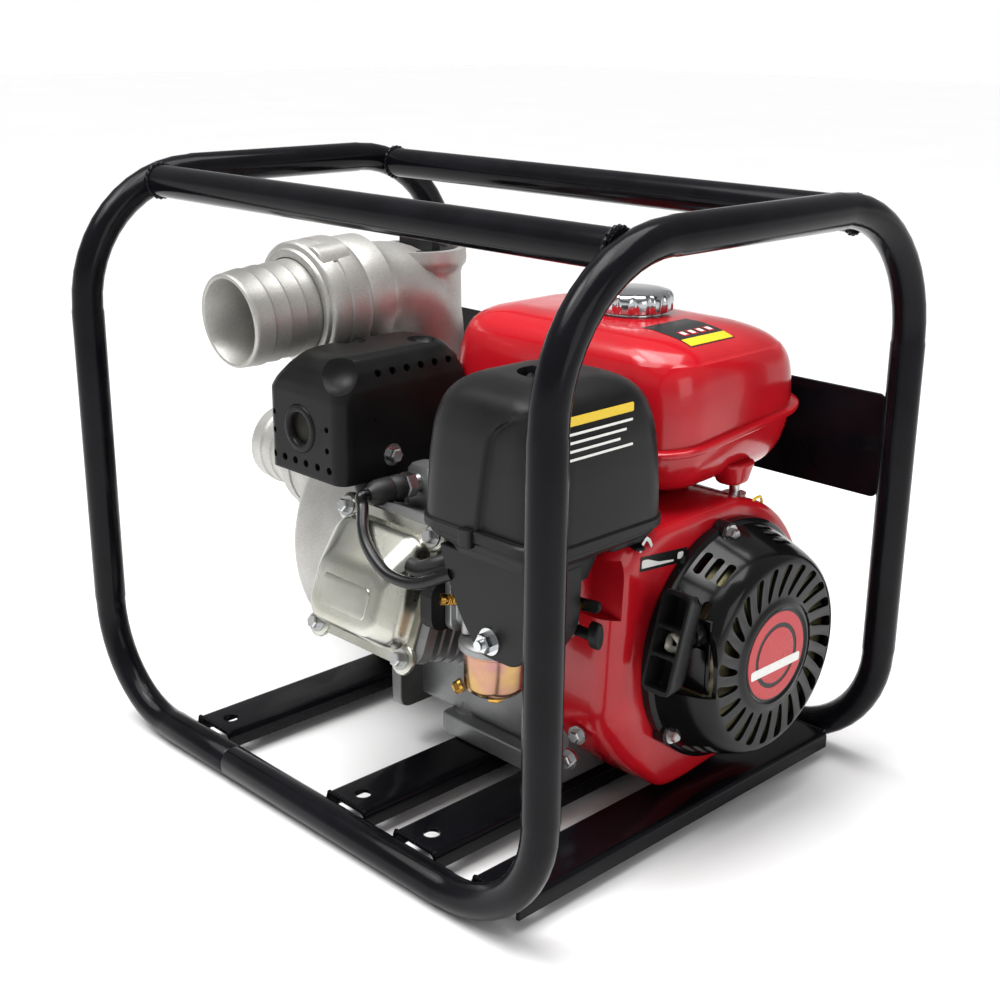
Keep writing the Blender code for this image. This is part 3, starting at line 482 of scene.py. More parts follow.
flange = lathe([(28, 74), (43.5, 74), (43.5, 104), (45, 104.6), (47, 106), (47, 127), (44, 129.5),
    (38.5, 133), (38, 146), (40, 149.5), (46, 152), (54, 153.6), (56, 155), (56, 165.4), (28, 165.4)],
    INLET_MOUTH, X, 72)
add_piece("suction_neck", flange, cast_aluminium, stands_for=["inlet_flange"])
flange_bolts = [hex_bolt(INLET_MOUTH + X * 154 + spoke(turn) * 48.5, -X, 8, washer=6)
    for turn in evenly(4, math.radians(45))]
add_piece("suction_neck_bolts", flange_bolts, bright_zinc)
add_piece("suction_flap", [lathe([(33, 80.6), (32.4, 80), (6, 79.4), (0.01, 79.4), (0.01, 84),
    (33, 84)], Vector((0, 249, 154)), X, 48), disc(4, -18, 18, Vector((82, 249, 190)), Y)],
    black_rubber, body="flap", stands_for=["inlet_check_flap"])

# ---- Discharge elbow: one sand casting that rises from the casing, turns forward and ends in the
# union's thread, with a straight priming column on top. A black bar-handled plug closes the column.

ELBOW_BORE = 28.0
column = Vector((PORT_X, 249.0, 0))


def bow(a, b, c, t):
    """A point of the curve that leaves a towards b and reaches c."""
    return a * (1 - t) ** 2 + b * 2 * t * (1 - t) + c * t * t


curve = [bow(column + Z * 285, column + Z * 336, OUTLET_MOUTH + OUTLET_AXIS * 140, k / 14)
    for k in range(15)]
elbow_line = [*(column + Z * z for z in (243.3, 250, 256, 270)), *curve,
    *(OUTLET_MOUTH + OUTLET_AXIS * out for out in (131, 128.4, 128, 106, 104.4, 104.3, 74))]
elbow_radii = [46, 46, 39, 36.5, *[37 + 2 * math.sin(math.pi * k / 14) for k in range(15)], 40, 43,
    46.4, 47, 46.4, 43.5, 43.5]
elbow_outside = rings_along(elbow_line, elbow_radii, 56)
elbow_bore = rings_along(elbow_line, ELBOW_BORE, 56)
elbow = add_piece("discharge_elbow", skin(elbow_outside + elbow_bore[::-1], joined=True),
    cast_aluminium, stands_for=["outlet_elbow"], sharp=50)
carve(elbow, lathe([(35.5, 300), (35, 346), (36, 350), (39, 354), (39.5, 358), (39, 366.4),
    (32.5, 366.4), (32.5, 352), (30, 346), (0.01, 346), (0.01, 300)], column, Z, 64), operation="UNION")
ears_at = [column + Vector((42 * s, -20 * s, 0)) for s in (1, -1)]
add_piece("elbow_ears", [disc(10, 243.4, 252, at, Z, 28) for at in ears_at], cast_aluminium, bevel=1)
add_piece("elbow_bolts", [hex_bolt(at + Z * 252, Z, 10, washer=8) for at in ears_at], bright_zinc)

black_nylon = make_material("moulded_black_nylon", "black_plastic", 0x111112, 0.5, 0.03, (0.34, 0.48),
    tint=0x161617, wear=0.1, Specular_IOR_Level=0.18)
PLUG_TOP, BAR_HALF = 366.0, 22.0
add_piece("priming_stopper", lathe([(30.4, 352.5), (30.4, 364), (29, 365.6), (24, PLUG_TOP),
    (23, 364.5), (8, 364)], column, Z, 56, ring=False), black_nylon, body="plug",
    stands_for=["priming_plug"], bevel=0.3)
bar = [[column + Vector((x, y, z)) for x, y in ((-BAR_HALF + i, -4.5 + i / 2),
    (BAR_HALF - i, -4.5 + i / 2), (BAR_HALF - i, 4.5 - i / 2), (-BAR_HALF + i, 4.5 - i / 2))]
    for z, i in ((360, 0), (378, 0.6), (380, 2))]
add_piece("stopper_bar", skin(bar), black_nylon, body="plug", bevel=1.6)

# ---- Exhaust: a pressed muffler drum under a heat shield of 1.5 mm steel, both in satin
# heat-proof black. The shield's dished screws, slots and outlet are pressed and pierced.

heat_black = make_material("heat_proof_satin_black", "black_enamel", 0x141414, 0.9, 0.02, (0.26, 0.36),
    tint=0x1A1A1A, wear=0.08, Specular_IOR_Level=0.12)
dark_mesh = make_material("spark_arrestor_mesh", "black_enamel", 0x3A3834, 0.9, 0.3, (0.4, 0.55), 1.0,
    tint=0x24221F, wear=0.4)


def rounded(u, v, radius, steps=7):
    """A rectangle between the pairs u and v with round corners."""
    corners = ((u[1] - radius, v[1] - radius, 0), (u[0] + radius, v[1] - radius, 90),
        (u[0] + radius, v[0] + radius, 180), (u[1] - radius, v[0] + radius, 270))
    return [p for cu, cv, turn in corners for p in arc((cu, cv), radius, turn, turn + 90, steps)]


def stacked(levels, place, steps=7):
    """A loft over rounded rectangles: each level is (u pair, v pair, corner radius, height)."""
    return skin([[place(a, b, w) for a, b in rounded(u, v, r, steps)] for u, v, r, w in levels])


def slab(u, v, radius, start, end, place, steps=7):
    """A plate or block with round corners, from one height to another."""
    return prism(rounded(u, v, radius, steps), start, end, place)


def upright(u, v, w):
    return Vector((u, v, w))


def side_on(u, v, w):
    return Vector((w, u, v))


shield_low, shield_high = [(corner - DATUM) * 1000 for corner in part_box("muffler_shield")]
shield_x, shield_y = (shield_low.x, shield_high.x), (shield_low.y, shield_high.y)


def shield_level(left, right, front, back, radius, height):
    return ((shield_x[0] + left, shield_x[1] - right), (shield_y[0] + front, shield_y[1] - back),
        radius, height)


def soften(levels, reach, steps=5):
    """Round the turns of a stack of levels, each turn over reach to both sides."""
    rows = [(*u, *v, r, w) for u, v, r, w in levels]
    out = [rows[0]]
    for before, here, after in zip(rows, rows[1:], rows[2:]):
        cut = []
        for other in (before, after):
            gap = max(abs(a - b) for a, b in zip(other, here))
            share = min(0.5, reach / gap)
            cut.append([h + (o - h) * share for o, h in zip(other, here)])
        out += [[bow(a, h, b, k / steps) for a, h, b in zip(cut[0], here, cut[1])]
            for k in range(steps + 1)]
    out.append(rows[-1])
    return [((a, b), (c, d), r, w) for a, b, c, d, r, w in out]


def ball(centre, radius, steps=32):
    """A sphere, used as a cutter."""
    profile = [(max(0.01, radius * math.sin(math.pi * k / 16)), -radius * math.cos(math.pi * k / 16))
        for k in range(17)]
    return lathe(profile, centre, Z, steps, ring=False)


shield = add_piece("muffler_guard", stacked(soften([shield_level(0.5, 0.5, 0.5, 0.5, 10, 221),
    shield_level(0, 0, 0, 0, 12, 223), shield_level(0, 0, 0, 0, 12, 283),
    shield_level(4.5, 1, 1, 1, 13, 290.5), shield_level(15, 6, 5, 4, 14, 302),
    shield_level(24, 13, 12, 9, 14, 310.5), shield_level(28, 18, 20, 14, 13, 313.3),
    shield_level(34, 26, 30, 22, 10, 313.8)], 2), upright), heat_black, stands_for=["muffler_shield"],
    sharp=50)
EXHAUST = Vector((182, shield_y[0], 257))
shield_holes = [disc(3.0, -4, 4, Vector((x, shield_y[0], 231)), Y, 16)
    for x in (149, 162, 175, 188, 202, 216)]
shield_holes += [disc(3.0, -5, 6, Vector((222.5, y, 298.5)), Vector((0.85, 0, 0.5)), 16)
    for y in (106, 120, 134, 148, 162, 176, 190)]
shield_holes += [disc(2.4, -4, 4, Vector((x, shield_y[0], z)), Y, 16)
    for x, z in ((150, 264), (150, 250), (214, 262), (214, 246))]
shield_holes += [disc(18.5, -6, 5, EXHAUST, Y, 48), ball(Vector((227, 63, 317)), 29)]
DISHES = (Vector((172, 124, 312.3)), Vector((203, 168, 312.3)))
shield_holes += [lathe([(12.5, 3), (9, -3.5), (6, -5), (0.01, -5), (0.01, 3)], at, Z, 40)
    for at in DISHES]
carve(shield, *shield_holes)
add_piece("exhaust_ring", lathe([(12, 4.6), (12.4, -0.6), (13.4, -1.4), (17, -1.4), (18, -0.6),
    (18.4, 4.6)], EXHAUST, Y, 56), heat_black, sharp=60)
add_piece("exhaust_mesh", lathe([(0.01, 2.4), (12.4, 3.6), (12.4, 4.6), (0.01, 4.6)], EXHAUST, Y, 40),
    dark_mesh)
pressing = stacked([((96, 180), (228, 263), 10, 225), ((97, 179), (229, 262), 9, 229.6),
    ((99, 177), (231, 260), 7, 230.2)], side_on)
add_piece("shield_swage", pressing, heat_black)
shield_screws = [hex_bolt(Vector((230.2, 114, 238)), X, 10, washer=8.5)]
shield_screws += [hex_bolt(at - Z * 5, Z, 7, height=3) for at in DISHES]
screw_black = make_material("blacked_screws", "black_enamel", 0x222226, 0.6, 0.01, (0.25, 0.4), 0.6)
add_piece("shield_bolts", shield_screws[:1], bright_zinc)
add_piece("shield_top_bolts", shield_screws[1:], screw_black)
add_piece("muffler_drum", stacked([((150, 221), (76, 186), 10, 222.5), ((147, 224), (73, 189), 12, 227),
    ((145, 226), (71, 191), 13, 232), ((145, 226), (71, 191), 13, 262),
    ((149, 224), (73, 189), 13, 277)], upright), heat_black)
pipe_line = [p for p, _ in bent_line([Vector((225.7, 116, 196)), Vector((203, 116, 196)),
    Vector((203, 116, 238))], (18.0,))]
pipe_line = [pipe_line[0], *pipe_line[2:-2], pipe_line[-1]]
add_piece("exhaust_pipe", skin(rings_along(pipe_line, 14.0)), heat_black, stands_for=["muffler_body"])

# ---- Crankcase and cylinder: die-cast aluminium, blasted to a bright grey, on a foot that bolts
# through the base channels. The tilted cylinder and its head carry thin cast fins.

die_cast = make_material("die_cast_aluminium", "cast_aluminium", 0x9A9B9B, 0.7, 0.05, (0.34, 0.5), 0.85,
    tint=0x8B8C8C, wear=0.12)
gasket = make_material("grey_gasket_paper", "rubber", 0x4A4B48, 0.5, 0.02, (0.7, 0.85), tint=0x3E403D)
BORE_TILT = math.radians(20)
BORE_AXIS = Vector((0, -math.cos(BORE_TILT), math.sin(BORE_TILT)))
BORE_UP = Vector((0, math.sin(BORE_TILT), math.cos(BORE_TILT)))
DECK, HEAD_TOP = 128.3, 188.0


def across_bore(x, up, along):
    """A point of the tilted cylinder: x, up square to the bore, and along it from the crank."""
    return SHAFT + BORE_AXIS * along + BORE_UP * up + X * x


def filleted(corners, steps=6):
    """An outline through corners (u, v, radius), each rounded by a short curve."""
    outline = []
    count = len(corners)
    for i, (u, v, r) in enumerate(corners):
        here = Vector((u, v))
        back = Vector(corners[i - 1][:2]) - here
        on = Vector(corners[(i + 1) % count][:2]) - here
        a, b = here + back.normalized() * r, here + on.normalized() * r
        for k in range(steps + 1 if r else 1):
            outline.append(tuple(bow(a, here, b, k / steps)))
    return outline


block = filleted([(150, 26, 6), (330, 24, 8), (343, 60, 20), (345, 150, 30), (326, 196, 20),
    (280, 214, 20), (216, 214, 20), (176, 178, 14), (150, 120, 16)])
add_piece("crankcase_casting", prism(block, 222.6, 384, side_on), die_cast, stands_for=["crankcase"],
    bevel=2)
foot = filleted([(256, 138, 8), (384, 138, 8), (384, 330, 8), (256, 330, 8)])
add_piece("crankcase_foot", prism(foot, 10.4, 27, upright), die_cast, bevel=2)
cover = filleted([(127, 20, 10), (343, 22, 10), (350, 60, 20), (350, 150, 30), (322, 204, 24),
    (196, 206, 24), (150, 170, 16), (127, 90, 20)])
add_piece("side_cover", [prism(cover, 210.5, 221.6, side_on), lathe(
    [(56, 196.3), (56, 212), (14, 212), (14, 196.3)], SHAFT, X)], die_cast,
    stands_for=["crankcase_cover"], bevel=2)
add_piece("side_cover_gasket", prism([(215 + (u - 215) * 0.994, 113 + (v - 113) * 0.994)
    for u, v in cover], 221.6, 222.6, side_on), gasket)
cover_bolts = [hex_bolt(Vector((210.5, u, v)), -X, 8, washer=7) for u, v in ((139, 32), (240, 31),
    (333, 34), (340, 100), (330, 170), (262, 198), (192, 194), (140, 110))]
add_piece("side_cover_bolts", cover_bolts, bright_zinc)
foot_nuts = []
for at in (Vector((x, y, 27)) for x in (270, 372) for y in (157, 319)):
    foot_nuts += [hex_bolt(at, Z, 13, washer=11), disc(4, 0, 14, at, Z, 20)]
case_ribs = [prism([(342.4, z - 2), (348, z - 1.4), (348, z + 1.4), (342.4, z + 2)], 228, 380, side_on)
    for z in (74, 92, 110, 128)]
case_ribs += [prism(filleted([(x - 3, 30, 1), (x + 3, 30, 1), (x + 3, 140, 1), (x - 3, 140, 1)]), 330,
    347, front_on) for x in (236, 366)]
add_piece("crankcase_ribs", case_ribs, die_cast, bevel=1)
drain_at = Vector((280, 342, 38))
add_piece("oil_drain", [disc(10, -4, 0, drain_at, Y), hex_bolt(drain_at, Y, 12)], bright_zinc)
add_piece("foot_nuts", foot_nuts, bright_zinc)
fins = []
for k in range(7):
    along = 62 + 9.6 * k
    fins.append(stacked([((229, 335), (-50, 50), 12, along), ((228, 336), (-51, 51), 12, along + 1.2),
        ((229, 335), (-50, 50), 12, along + 2.4)], across_bore, 4))
fins.append(prism([(282 + 43 * math.cos(a), 43 * math.sin(a)) for a in evenly(36)], 50, DECK,
    across_bore))
add_piece("cylinder_fins", fins, die_cast)
head = [slab((226, 334), (-68, 34), 10, DECK, DECK + 7, across_bore, 4),
    slab((226, 334), (-68, 34), 10, HEAD_TOP - 9, HEAD_TOP, across_bore, 4),
    slab((240, 320), (-56, 24), 12, DECK + 6, HEAD_TOP - 8, across_bore, 4)]
for k in range(4):
    along = DECK + 13.5 + 9.2 * k
    head.append(slab((228, 332), (-66, 33), 10, along, along + 2.4, across_bore, 4))
add_piece("head_fins", head, die_cast, stands_for=["cylinder_head"])
plug_seat = Vector((255.0, 124.0, 221.0))
plug_line = Vector((-0.1, -0.99, -0.04)).normalized()
add_piece("plug_tower", stacked([((241, 270), (118, 138), 5, 192), ((241, 270), (118, 138), 5, 229),
    ((244, 267), (120, 136), 4, 233)], upright), die_cast)

# ---- Valve cover: one deep steel pressing, plated bright zinc. Its flange has four eared corners
# with flanged screws; above the low flat panel a broad facet leans back to the top edge.

bright_cover = make_material("bright_zinc_pressing", "zinc_steel", 0xC2C2BA, 0.9, 0.015, (0.2, 0.32),
    1.0, tint=0xAFAEA2, wear=0.05)
LIP = HEAD_TOP + 0.4
flange_levels = [((219, 325), (-72, 28), 16, LIP), ((218.5, 325.5), (-72.5, 28.5), 16, LIP + 1),
    ((219, 325), (-72, 28), 16, LIP + 2.4)]
pan_levels = soften([((224, 320), (-66, 22), 14, LIP + 1), ((226, 318), (-64, 20), 14, LIP + 5),
    ((227, 317), (-63.5, 18), 15, LIP + 13), ((237, 308), (-58, -10), 14, LIP + 28.6),
    ((243, 302), (-52, -17), 10, LIP + 29.6)], 5)
add_piece("rocker_cover", [stacked(flange_levels, across_bore), stacked(pan_levels, across_bore)],
    bright_cover, stands_for=["valve_cover"], sharp=50)
panel = stacked([((246, 299), (-48, -24), 5, LIP + 29), ((247, 298), (-47, -25), 4, LIP + 30.4),
    ((249, 296), (-45, -27), 3, LIP + 30.6)], across_bore)
add_piece("rocker_cover_panel", panel, bright_cover)
ears, ear_bolts = [], []
for x, up in ((225, -67), (319, -67), (225, 22), (319, 22)):
    ears.append(lathe([(10.5, -0.2), (11, 1), (10.6, 3.2), (9.6, 4)], across_bore(x, up, LIP),
        BORE_AXIS, 36, ring=False))
    ear_bolts.append(hex_bolt(across_bore(x, up, LIP + 4), BORE_AXIS, 9, washer=7.6, height=6))
add_piece("rocker_cover_ears", ears, bright_cover)
add_piece("rocker_cover_bolts", ear_bolts, bright_zinc)
add_piece("rocker_gasket", slab((221, 323), (-70, 26), 14, HEAD_TOP - 0.8, LIP, across_bore), gasket)

# ---- Spark plug lead and breather hose: the rubber cap sits on the plug beside the head, and its
# lead loops in front of the rocker cover to run behind the air cleaner, beside the thicker hose.

gloss_rubber = make_material("ignition_cable_pvc", "rubber", 0x0E0E0F, 1.5, 0.02, (0.2, 0.32),
    tint=0x141415, Specular_IOR_Level=0.35)
add_piece("plug_boot", lathe([(8.6, 19.6), (9.6, 21), (9.6, 29), (8.8, 30), (9.8, 31.5), (9.8, 41),
    (8.8, 45), (6.6, 48), (5.6, 50)], plug_seat, plug_line, 40, ring=False), black_rubber,
    stands_for=["spark_plug_cap"])
spark = joined_up([lathe([(7, 0), (7, 10), (6, 19)], plug_seat, plug_line, 24, ring=False),
    hex_bolt(plug_seat + plug_line * 10.5, plug_line, 17, height=8)])
add_piece("plug_shell", spark, bright_zinc, stands_for=["spark_plug"])


def smooth_route(route, steps=10):
    """A Catmull-Rom curve through the route's points."""
    ends = [route[0] * 2 - route[1], *route, route[-1] * 2 - route[-2]]
    line = []
    for a, b, c, d in zip(ends, ends[1:], ends[2:], ends[3:]):
        for i in range(steps):
            t = i / steps
            line.append(0.5 * (b * 2 + (c - a) * t + (a * 2 - b * 5 + c * 4 - d) * t * t
                + (b * 3 - a - c * 3 + d) * t ** 3))
    return line + [route[-1]]


cap_end = plug_seat + plug_line * 49.5
lead_route = [cap_end, cap_end + plug_line * 6, Vector((254, 66, 212)), Vector((266, 56, 203)),
    Vector((280, 48, 196)), Vector((297, 43, 188)), Vector((315, 41, 183)), Vector((339, 44, 184)),
    Vector((364, 52, 196))]
add_piece("plug_lead", skin(rings_along(smooth_route(lead_route), 4.4, 24)), gloss_rubber,
    stands_for=["ignition_lead"])
hose_start = across_bore(314.5, 0, 203)
hose_route = [hose_start + X * 1.5, hose_start + X * 12, Vector((340, 62, 194)), Vector((352, 73, 199)),
    Vector((364, 84, 204))]
add_piece("crankcase_breather", skin(rings_along(smooth_route(hose_route), 6.2, 24)), black_rubber,
    stands_for=["breather_hose"])

# ---- Carburettor: a grey die-cast body on a black insulator, a yellow-passivated float bowl held
# by a brass bolt, a sprung idle screw, a choke lever and a fuel cock with an oval knob.

passivated = make_material("yellow_passivated_zinc", "passivated_zinc", 0xB79A50, 6.0, 0.01,
    (0.16, 0.28), 1.0, tint=0xAC7C7E, wear=0.06)
brass = make_material("turned_brass", "passivated_zinc", 0xC79A4B, 0.5, 0.01, (0.2, 0.3), 1.0,
    tint=0xB98A3E)
COCK_AT, DRAIN_AT = Vector((0, 101, 163)), Vector((366, 60, 113))
body_rings = [((62, 94), (146, 187), 8, 346), ((62, 94), (146, 187), 8, 352),
    ((66, 92), (150, 182), 9, 354), ((66, 92), (150, 182), 9, 396), ((60, 98), (146, 186), 9, 398),
    ((60, 98), (146, 186), 9, 404)]
bowl_axis = Vector((381.0, 77.0, 0))
add_piece("carburettor_casting", [stacked(body_rings, side_on), lathe(
    [(23, 141.5), (25.4, 141.5), (25.4, 146), (23, 148.5), (12, 150)], bowl_axis, Z, 48, ring=False),
    disc(7, 394, 430, COCK_AT, X), disc(5, 150, 196, Vector((366, 66, 0)), Z)], die_cast,
    stands_for=["carburetor_body"], bevel=0.8)
add_piece("fuel_bowl", lathe([(5, 104.5), (5, 109), (17.5, 109.5), (20.5, 112), (21.6, 116),
    (22.2, 139), (23.6, 140), (23.6, 141.3), (18, 141.3)], bowl_axis, Z, 56, ring=False), passivated,
    stands_for=["float_bowl"])
add_piece("bowl_bolts", [hex_bolt(bowl_axis + Z * 109, -Z, 11, washer=8),
    hex_bolt(DRAIN_AT, Vector((-0.6, -0.6, -0.5)), 8, washer=5)], brass)
screw_line = Vector((-0.5, -0.85, 0.1)).normalized()
screw_at = Vector((362, 62, 174))
coil = [screw_at + screw_line * (1 + 9 * k / 60) + spoke(k * 0.75, X, Z) * 3.4 for k in range(61)]
add_piece("idle_screw", [disc(2, -2, 14, screw_at, screw_line), disc(4.2, 11, 14, screw_at, screw_line),
    skin(rings_along(coil, 0.6, 8))], brass)
choke_arm = [(390, 178, 3), (402, 174.5, 3), (440, 180, 4), (456, 182, 4), (456, 190, 4), (438, 188, 4),
    (400, 188, 3), (390, 187, 3)]
add_piece("choke_arm", prism(filleted(choke_arm), 96.8, 99.8, front_on), black_nylon, body="choke",
    stands_for=["choke_lever"], bevel=0.5)
add_piece("choke_tip", disc(2.6, 92, 100.2, Vector((440, 0, 184)), Y), brass, body="choke", bevel=0.6)
add_piece("choke_screw", hex_bolt(Vector((396, 96.8, 181)), -Y, 6, washer=5), bright_zinc)
knob = [(COCK_AT.y + 4.2 * math.cos(a), COCK_AT.z + 1 + 9.5 * math.sin(a)) for a in evenly(40)]
add_piece("fuel_cock_knob", [prism(knob, 446.2, 454.6, side_on), disc(3.9, 430.5, 448, COCK_AT, X)],
    black_nylon, body="fuel_cock", stands_for=["fuel_cock_lever"], bevel=1.6)

# ---- Air cleaner: a tall black ABS cover, moulded in one with a stepped front, over a base whose
# elbow drops to the carburettor. A knob in the top recess holds it; a care label is on the side.

abs_black = make_material("satin_black_abs", "black_plastic", 0x151516, 0.45, 0.035, (0.32, 0.44),
    tint=0x19191A, wear=0.08, Specular_IOR_Level=0.18)
cover_low, cover_high = [(corner - DATUM) * 1000 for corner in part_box("air_cleaner_cover")]
KNOB_AT = Vector(((cover_low.x + cover_high.x) / 2, (cover_low.y + cover_high.y) / 2, cover_high.z))
STEP_IN, STEP_WIDE = 3.6, 3.4
cover_x, cover_y = (cover_low.x + 0.2, cover_high.x - 0.2), (cover_low.y + 0.4, cover_high.y - 0.2)
cover_levels = soften([((cover_x[0] + i, cover_x[1] - i), (cover_y[0] + i, cover_y[1] - i), corner, w)
    for i, w, corner in ((0, 229, 26), (0, 243, 26), (1, 276, 27), (3, 300, 28), (8, 317, 28),
    (16, 325.5, 26), (28, 330.2, 23), (42, 331, 14))], 7)
rows = []
for before, after in zip(cover_levels, cover_levels[1:]):
    parts = max(1, math.ceil((after[3] - before[3]) / 2.5))
    flat = [(*level[0], *level[1], level[2], level[3]) for level in (before, after)]
    rows += [[a + (b - a) * k / parts for a, b in zip(*flat)] for k in range(parts)]
cover_rings = []
for u0, u1, v0, v1, corner, w in rows:
    # The front's two corners end and start at points 23 and 24; the step's points go between them.
    loop = rounded((u0, u1), (v0, v1), corner)
    step_u = 394 + 9 * (w - 226) / 73 + 26 * max(0.0, (w - 297) / 22) ** 2
    left, right = loop[23][0], loop[24][0]
    reach = min(8.0, (right - left) / 2 - 0.5)
    middle = max(left + reach, min(right - reach, step_u))
    near = [middle + reach * k / 8 for k in range(-4, 5)]
    far = [left + (near[0] - left) * k / 3 for k in (1, 2)]
    far_right = [near[-1] + (right - near[-1]) * k / 3 for k in (1, 2)]
    loop = loop[:24] + [(u, v0) for u in far + near + far_right] + loop[24:]
    fade = max(0.0, min(1.0, (320 - w) / 5))
    ring = []
    for u, v in loop:
        t = max(0.0, min(1.0, (u - step_u) / STEP_WIDE + 0.5))
        into = STEP_IN * t * t * (3 - 2 * t) * fade * max(0.0, 1 - (v - v0) / 40)
        ring.append(upright(u, v + into, w))
    cover_rings.append(ring)
cleaner = add_piece("cleaner_cover", skin(cover_rings), abs_black, stands_for=["air_cleaner_cover"],
    sharp=55)
carve(cleaner, lathe([(18, -9), (19, 2), (0.01, 2), (0.01, -9)], KNOB_AT, Z, 48))
rim = [((cover_low.x - e, cover_high.x + e), (cover_low.y - e, cover_high.y + e), 27, w)
    for e, w in ((0.4, 227.9), (1.4, 228.6), (1.4, 234), (0.2, 235.4))]
add_piece("cleaner_rim", stacked(rim, upright), abs_black)
add_piece("rim_catch", slab((382, 394), (39.6, 46), 2, 224, 236, upright), abs_black, bevel=0.8)
wing = [[KNOB_AT + Vector((x, y, z)) for x, y in ((-11, -2.5), (11, -2.5), (11, 2.5), (-11, 2.5))]
    for z in (-5, 2.6)]
add_piece("cleaner_knob", [lathe([(13, -7.4), (13, -4), (11.5, -2.6)], KNOB_AT, Z, 40, ring=False),
    skin(wing)], abs_black, body="cleaner_knob", stands_for=["air_cleaner_knob"], bevel=0.8)
base_x, base_y = (cover_low.x + 3, cover_high.x - 3), (cover_low.y + 3, cover_high.y - 3)
add_piece("cleaner_base", stacked(soften([((362, 444), (52, 108), 14, 203),
    ((358, 446), (50, 116), 16, 218), (base_x, base_y, 22, 223.6), (base_x, base_y, 22, 227.8)], 2),
    upright), abs_black, stands_for=["air_cleaner_base"], sharp=50)
elbow_face = filleted([(353, 216, 3), (360, 196, 8), (374, 168, 8), (392, 147, 8), (428, 147, 10),
    (444, 170, 10), (446, 216, 3)])
add_piece("cleaner_elbow", prism(elbow_face, 50.5, 92, front_on), abs_black, bevel=4)
elbow_nut = Vector((403, 50.5, 160))
add_piece("cleaner_nut", [hex_bolt(elbow_nut, -Y, 12, washer=9.5), disc(3.4, 0, 12, elbow_nut, -Y)],
    bright_zinc)


def vinyl(name, code):
    """Printed vinyl film of one ink, with the faint mottle of print."""
    return make_material(name, "black_plastic", code, 0.4, 0.004, (0.24, 0.34), wear=0.04)


black_ink, yellow_ink = vinyl("black_printed_vinyl", 0x121212), vinyl("yellow_printed_vinyl", 0xE6C21A)
white_ink, red_ink = vinyl("white_printed_vinyl", 0xE4E4E0), vinyl("red_printed_vinyl", 0xB8141E)


def sticker(name, corner, across, up, patches, body="root"):
    """Film laid on a face: patches are (ink, left, bottom, right, top, lift) in millimetres."""
    out = across.normalized().cross(up.normalized())
    for i, (ink, left, bottom, right, top, lift) in enumerate(patches):
        corner_r = min(1.0, (top - bottom) / 3, (right - left) / 3)
        outline = rounded((left, right), (bottom, top), corner_r, 3)
        rings = [[corner + across.normalized() * a + up.normalized() * b + out * w for a, b in outline]
            for w in (0, lift)]
        add_piece(f"{name}_{i}", skin(rings), ink, body=body)


care = [(yellow_ink, 0, 27, 61, 33, 0.3)]
care += [(white_ink, 1, 21 - 5.4 * k, 60 - 6 * (k % 3), 22.6 - 5.4 * k, 0.3) for k in range(4)]
sticker("care_label", Vector((cover_high.x - 1.7, 68, 285)), Y, Vector((-0.05, 0, 1)), care)

# ---- Fan cover: pressed steel in red gloss enamel, round about the flywheel, with a deep soft edge
# and a notch towards the carburettor. Small screws hold its foot; a throttle lever rides above.

red_enamel = make_material("red_gloss_enamel", "red_paint", 0xB4141F, 3.0, 0.012, (0.16, 0.24),
    tint=0xAA111C, wear=0.03, Specular_IOR_Level=0.3, Coat_Weight=0.25, Coat_Roughness=0.05)
FAN_BACK, FAN_FRONT, RIM_EDGE, SOFT_EDGE = 384.6, 443.0, 7.0, 22.0
wrap = arc((SHAFT.y, SHAFT.z), 103, 84, -76, 40)
shroud = [(u, v, 0) for u, v in wrap] + [(210, 12, 9), (188, 13, 11), (152, 44, 12), (130, 75, 14),
    (130, 206, 8), (142, 216, 6), (205, 219, 14)]
shroud = filleted(shroud, 5)
rim_line = []
for (u, v), (next_u, next_v) in zip(shroud, shroud[1:] + shroud[:1]):
    parts = math.ceil(math.hypot(next_u - u, next_v - v) / 8 - 0.001)
    rim_line += [(u + (next_u - u) * k / parts, v + (next_v - v) * k / parts) for k in range(parts)]
hub_of_shroud = Vector((215, 115))
fan_rings = [[side_on(u, v, FAN_BACK) for u, v in rim_line]]
for k in range(9):
    turn = math.radians(90 * k / 8)
    ring = []
    for u, v in rim_line:
        soft = RIM_EDGE + (SOFT_EDGE - RIM_EDGE) * max(0.0, min(1.0, (176 - u) / 40))
        inward = (hub_of_shroud - Vector((u, v))).normalized() * soft * (1 - math.cos(turn))
        ring.append(side_on(u + inward.x, v + inward.y, FAN_FRONT - soft * (1 - math.sin(turn))))
    fan_rings.append(ring)
for r, x in ((81, FAN_FRONT), (80, FAN_FRONT - 1), (80, 428)):
    angles = [math.atan2(v - SHAFT.z, u - SHAFT.y) for u, v in rim_line]
    fan_rings.append([side_on(SHAFT.y + r * math.cos(a), SHAFT.z + r * math.sin(a), x) for a in angles])
fan = add_piece("fan_shroud", skin(fan_rings), red_enamel, stands_for=["fan_cover"], sharp=50)
carve(fan, slab((404, 452), (116, 139), 9, 160, 203, upright))
add_piece("shroud_screws", [hex_bolt(Vector((410, 131, 66)), Vector((0.2, -1, 0)), 8, washer=7),
    hex_bolt(Vector((404, 128, 46)), Vector((0.2, -1, 0)), 10, washer=8)], bright_zinc)
sticker("choke_mark", Vector((FAN_FRONT, 152, 193)), Vector((0, 1, -0.09)), Vector((0, 0.09, 1)),
    [(black_ink, 0, 0, 50, 10.5, 0.25), (white_ink, 40, 3, 46, 8, 0.35)])
wedge = filleted([(154, 195, 0.6), (154, 201, 2), (160, 200.5, 2), (172, 195.8, 2), (188, 193.4, 0.6),
    (188, 192, 0.6)])
add_piece("choke_wedge", prism(wedge, FAN_FRONT, FAN_FRONT + 0.35, side_on), white_ink)
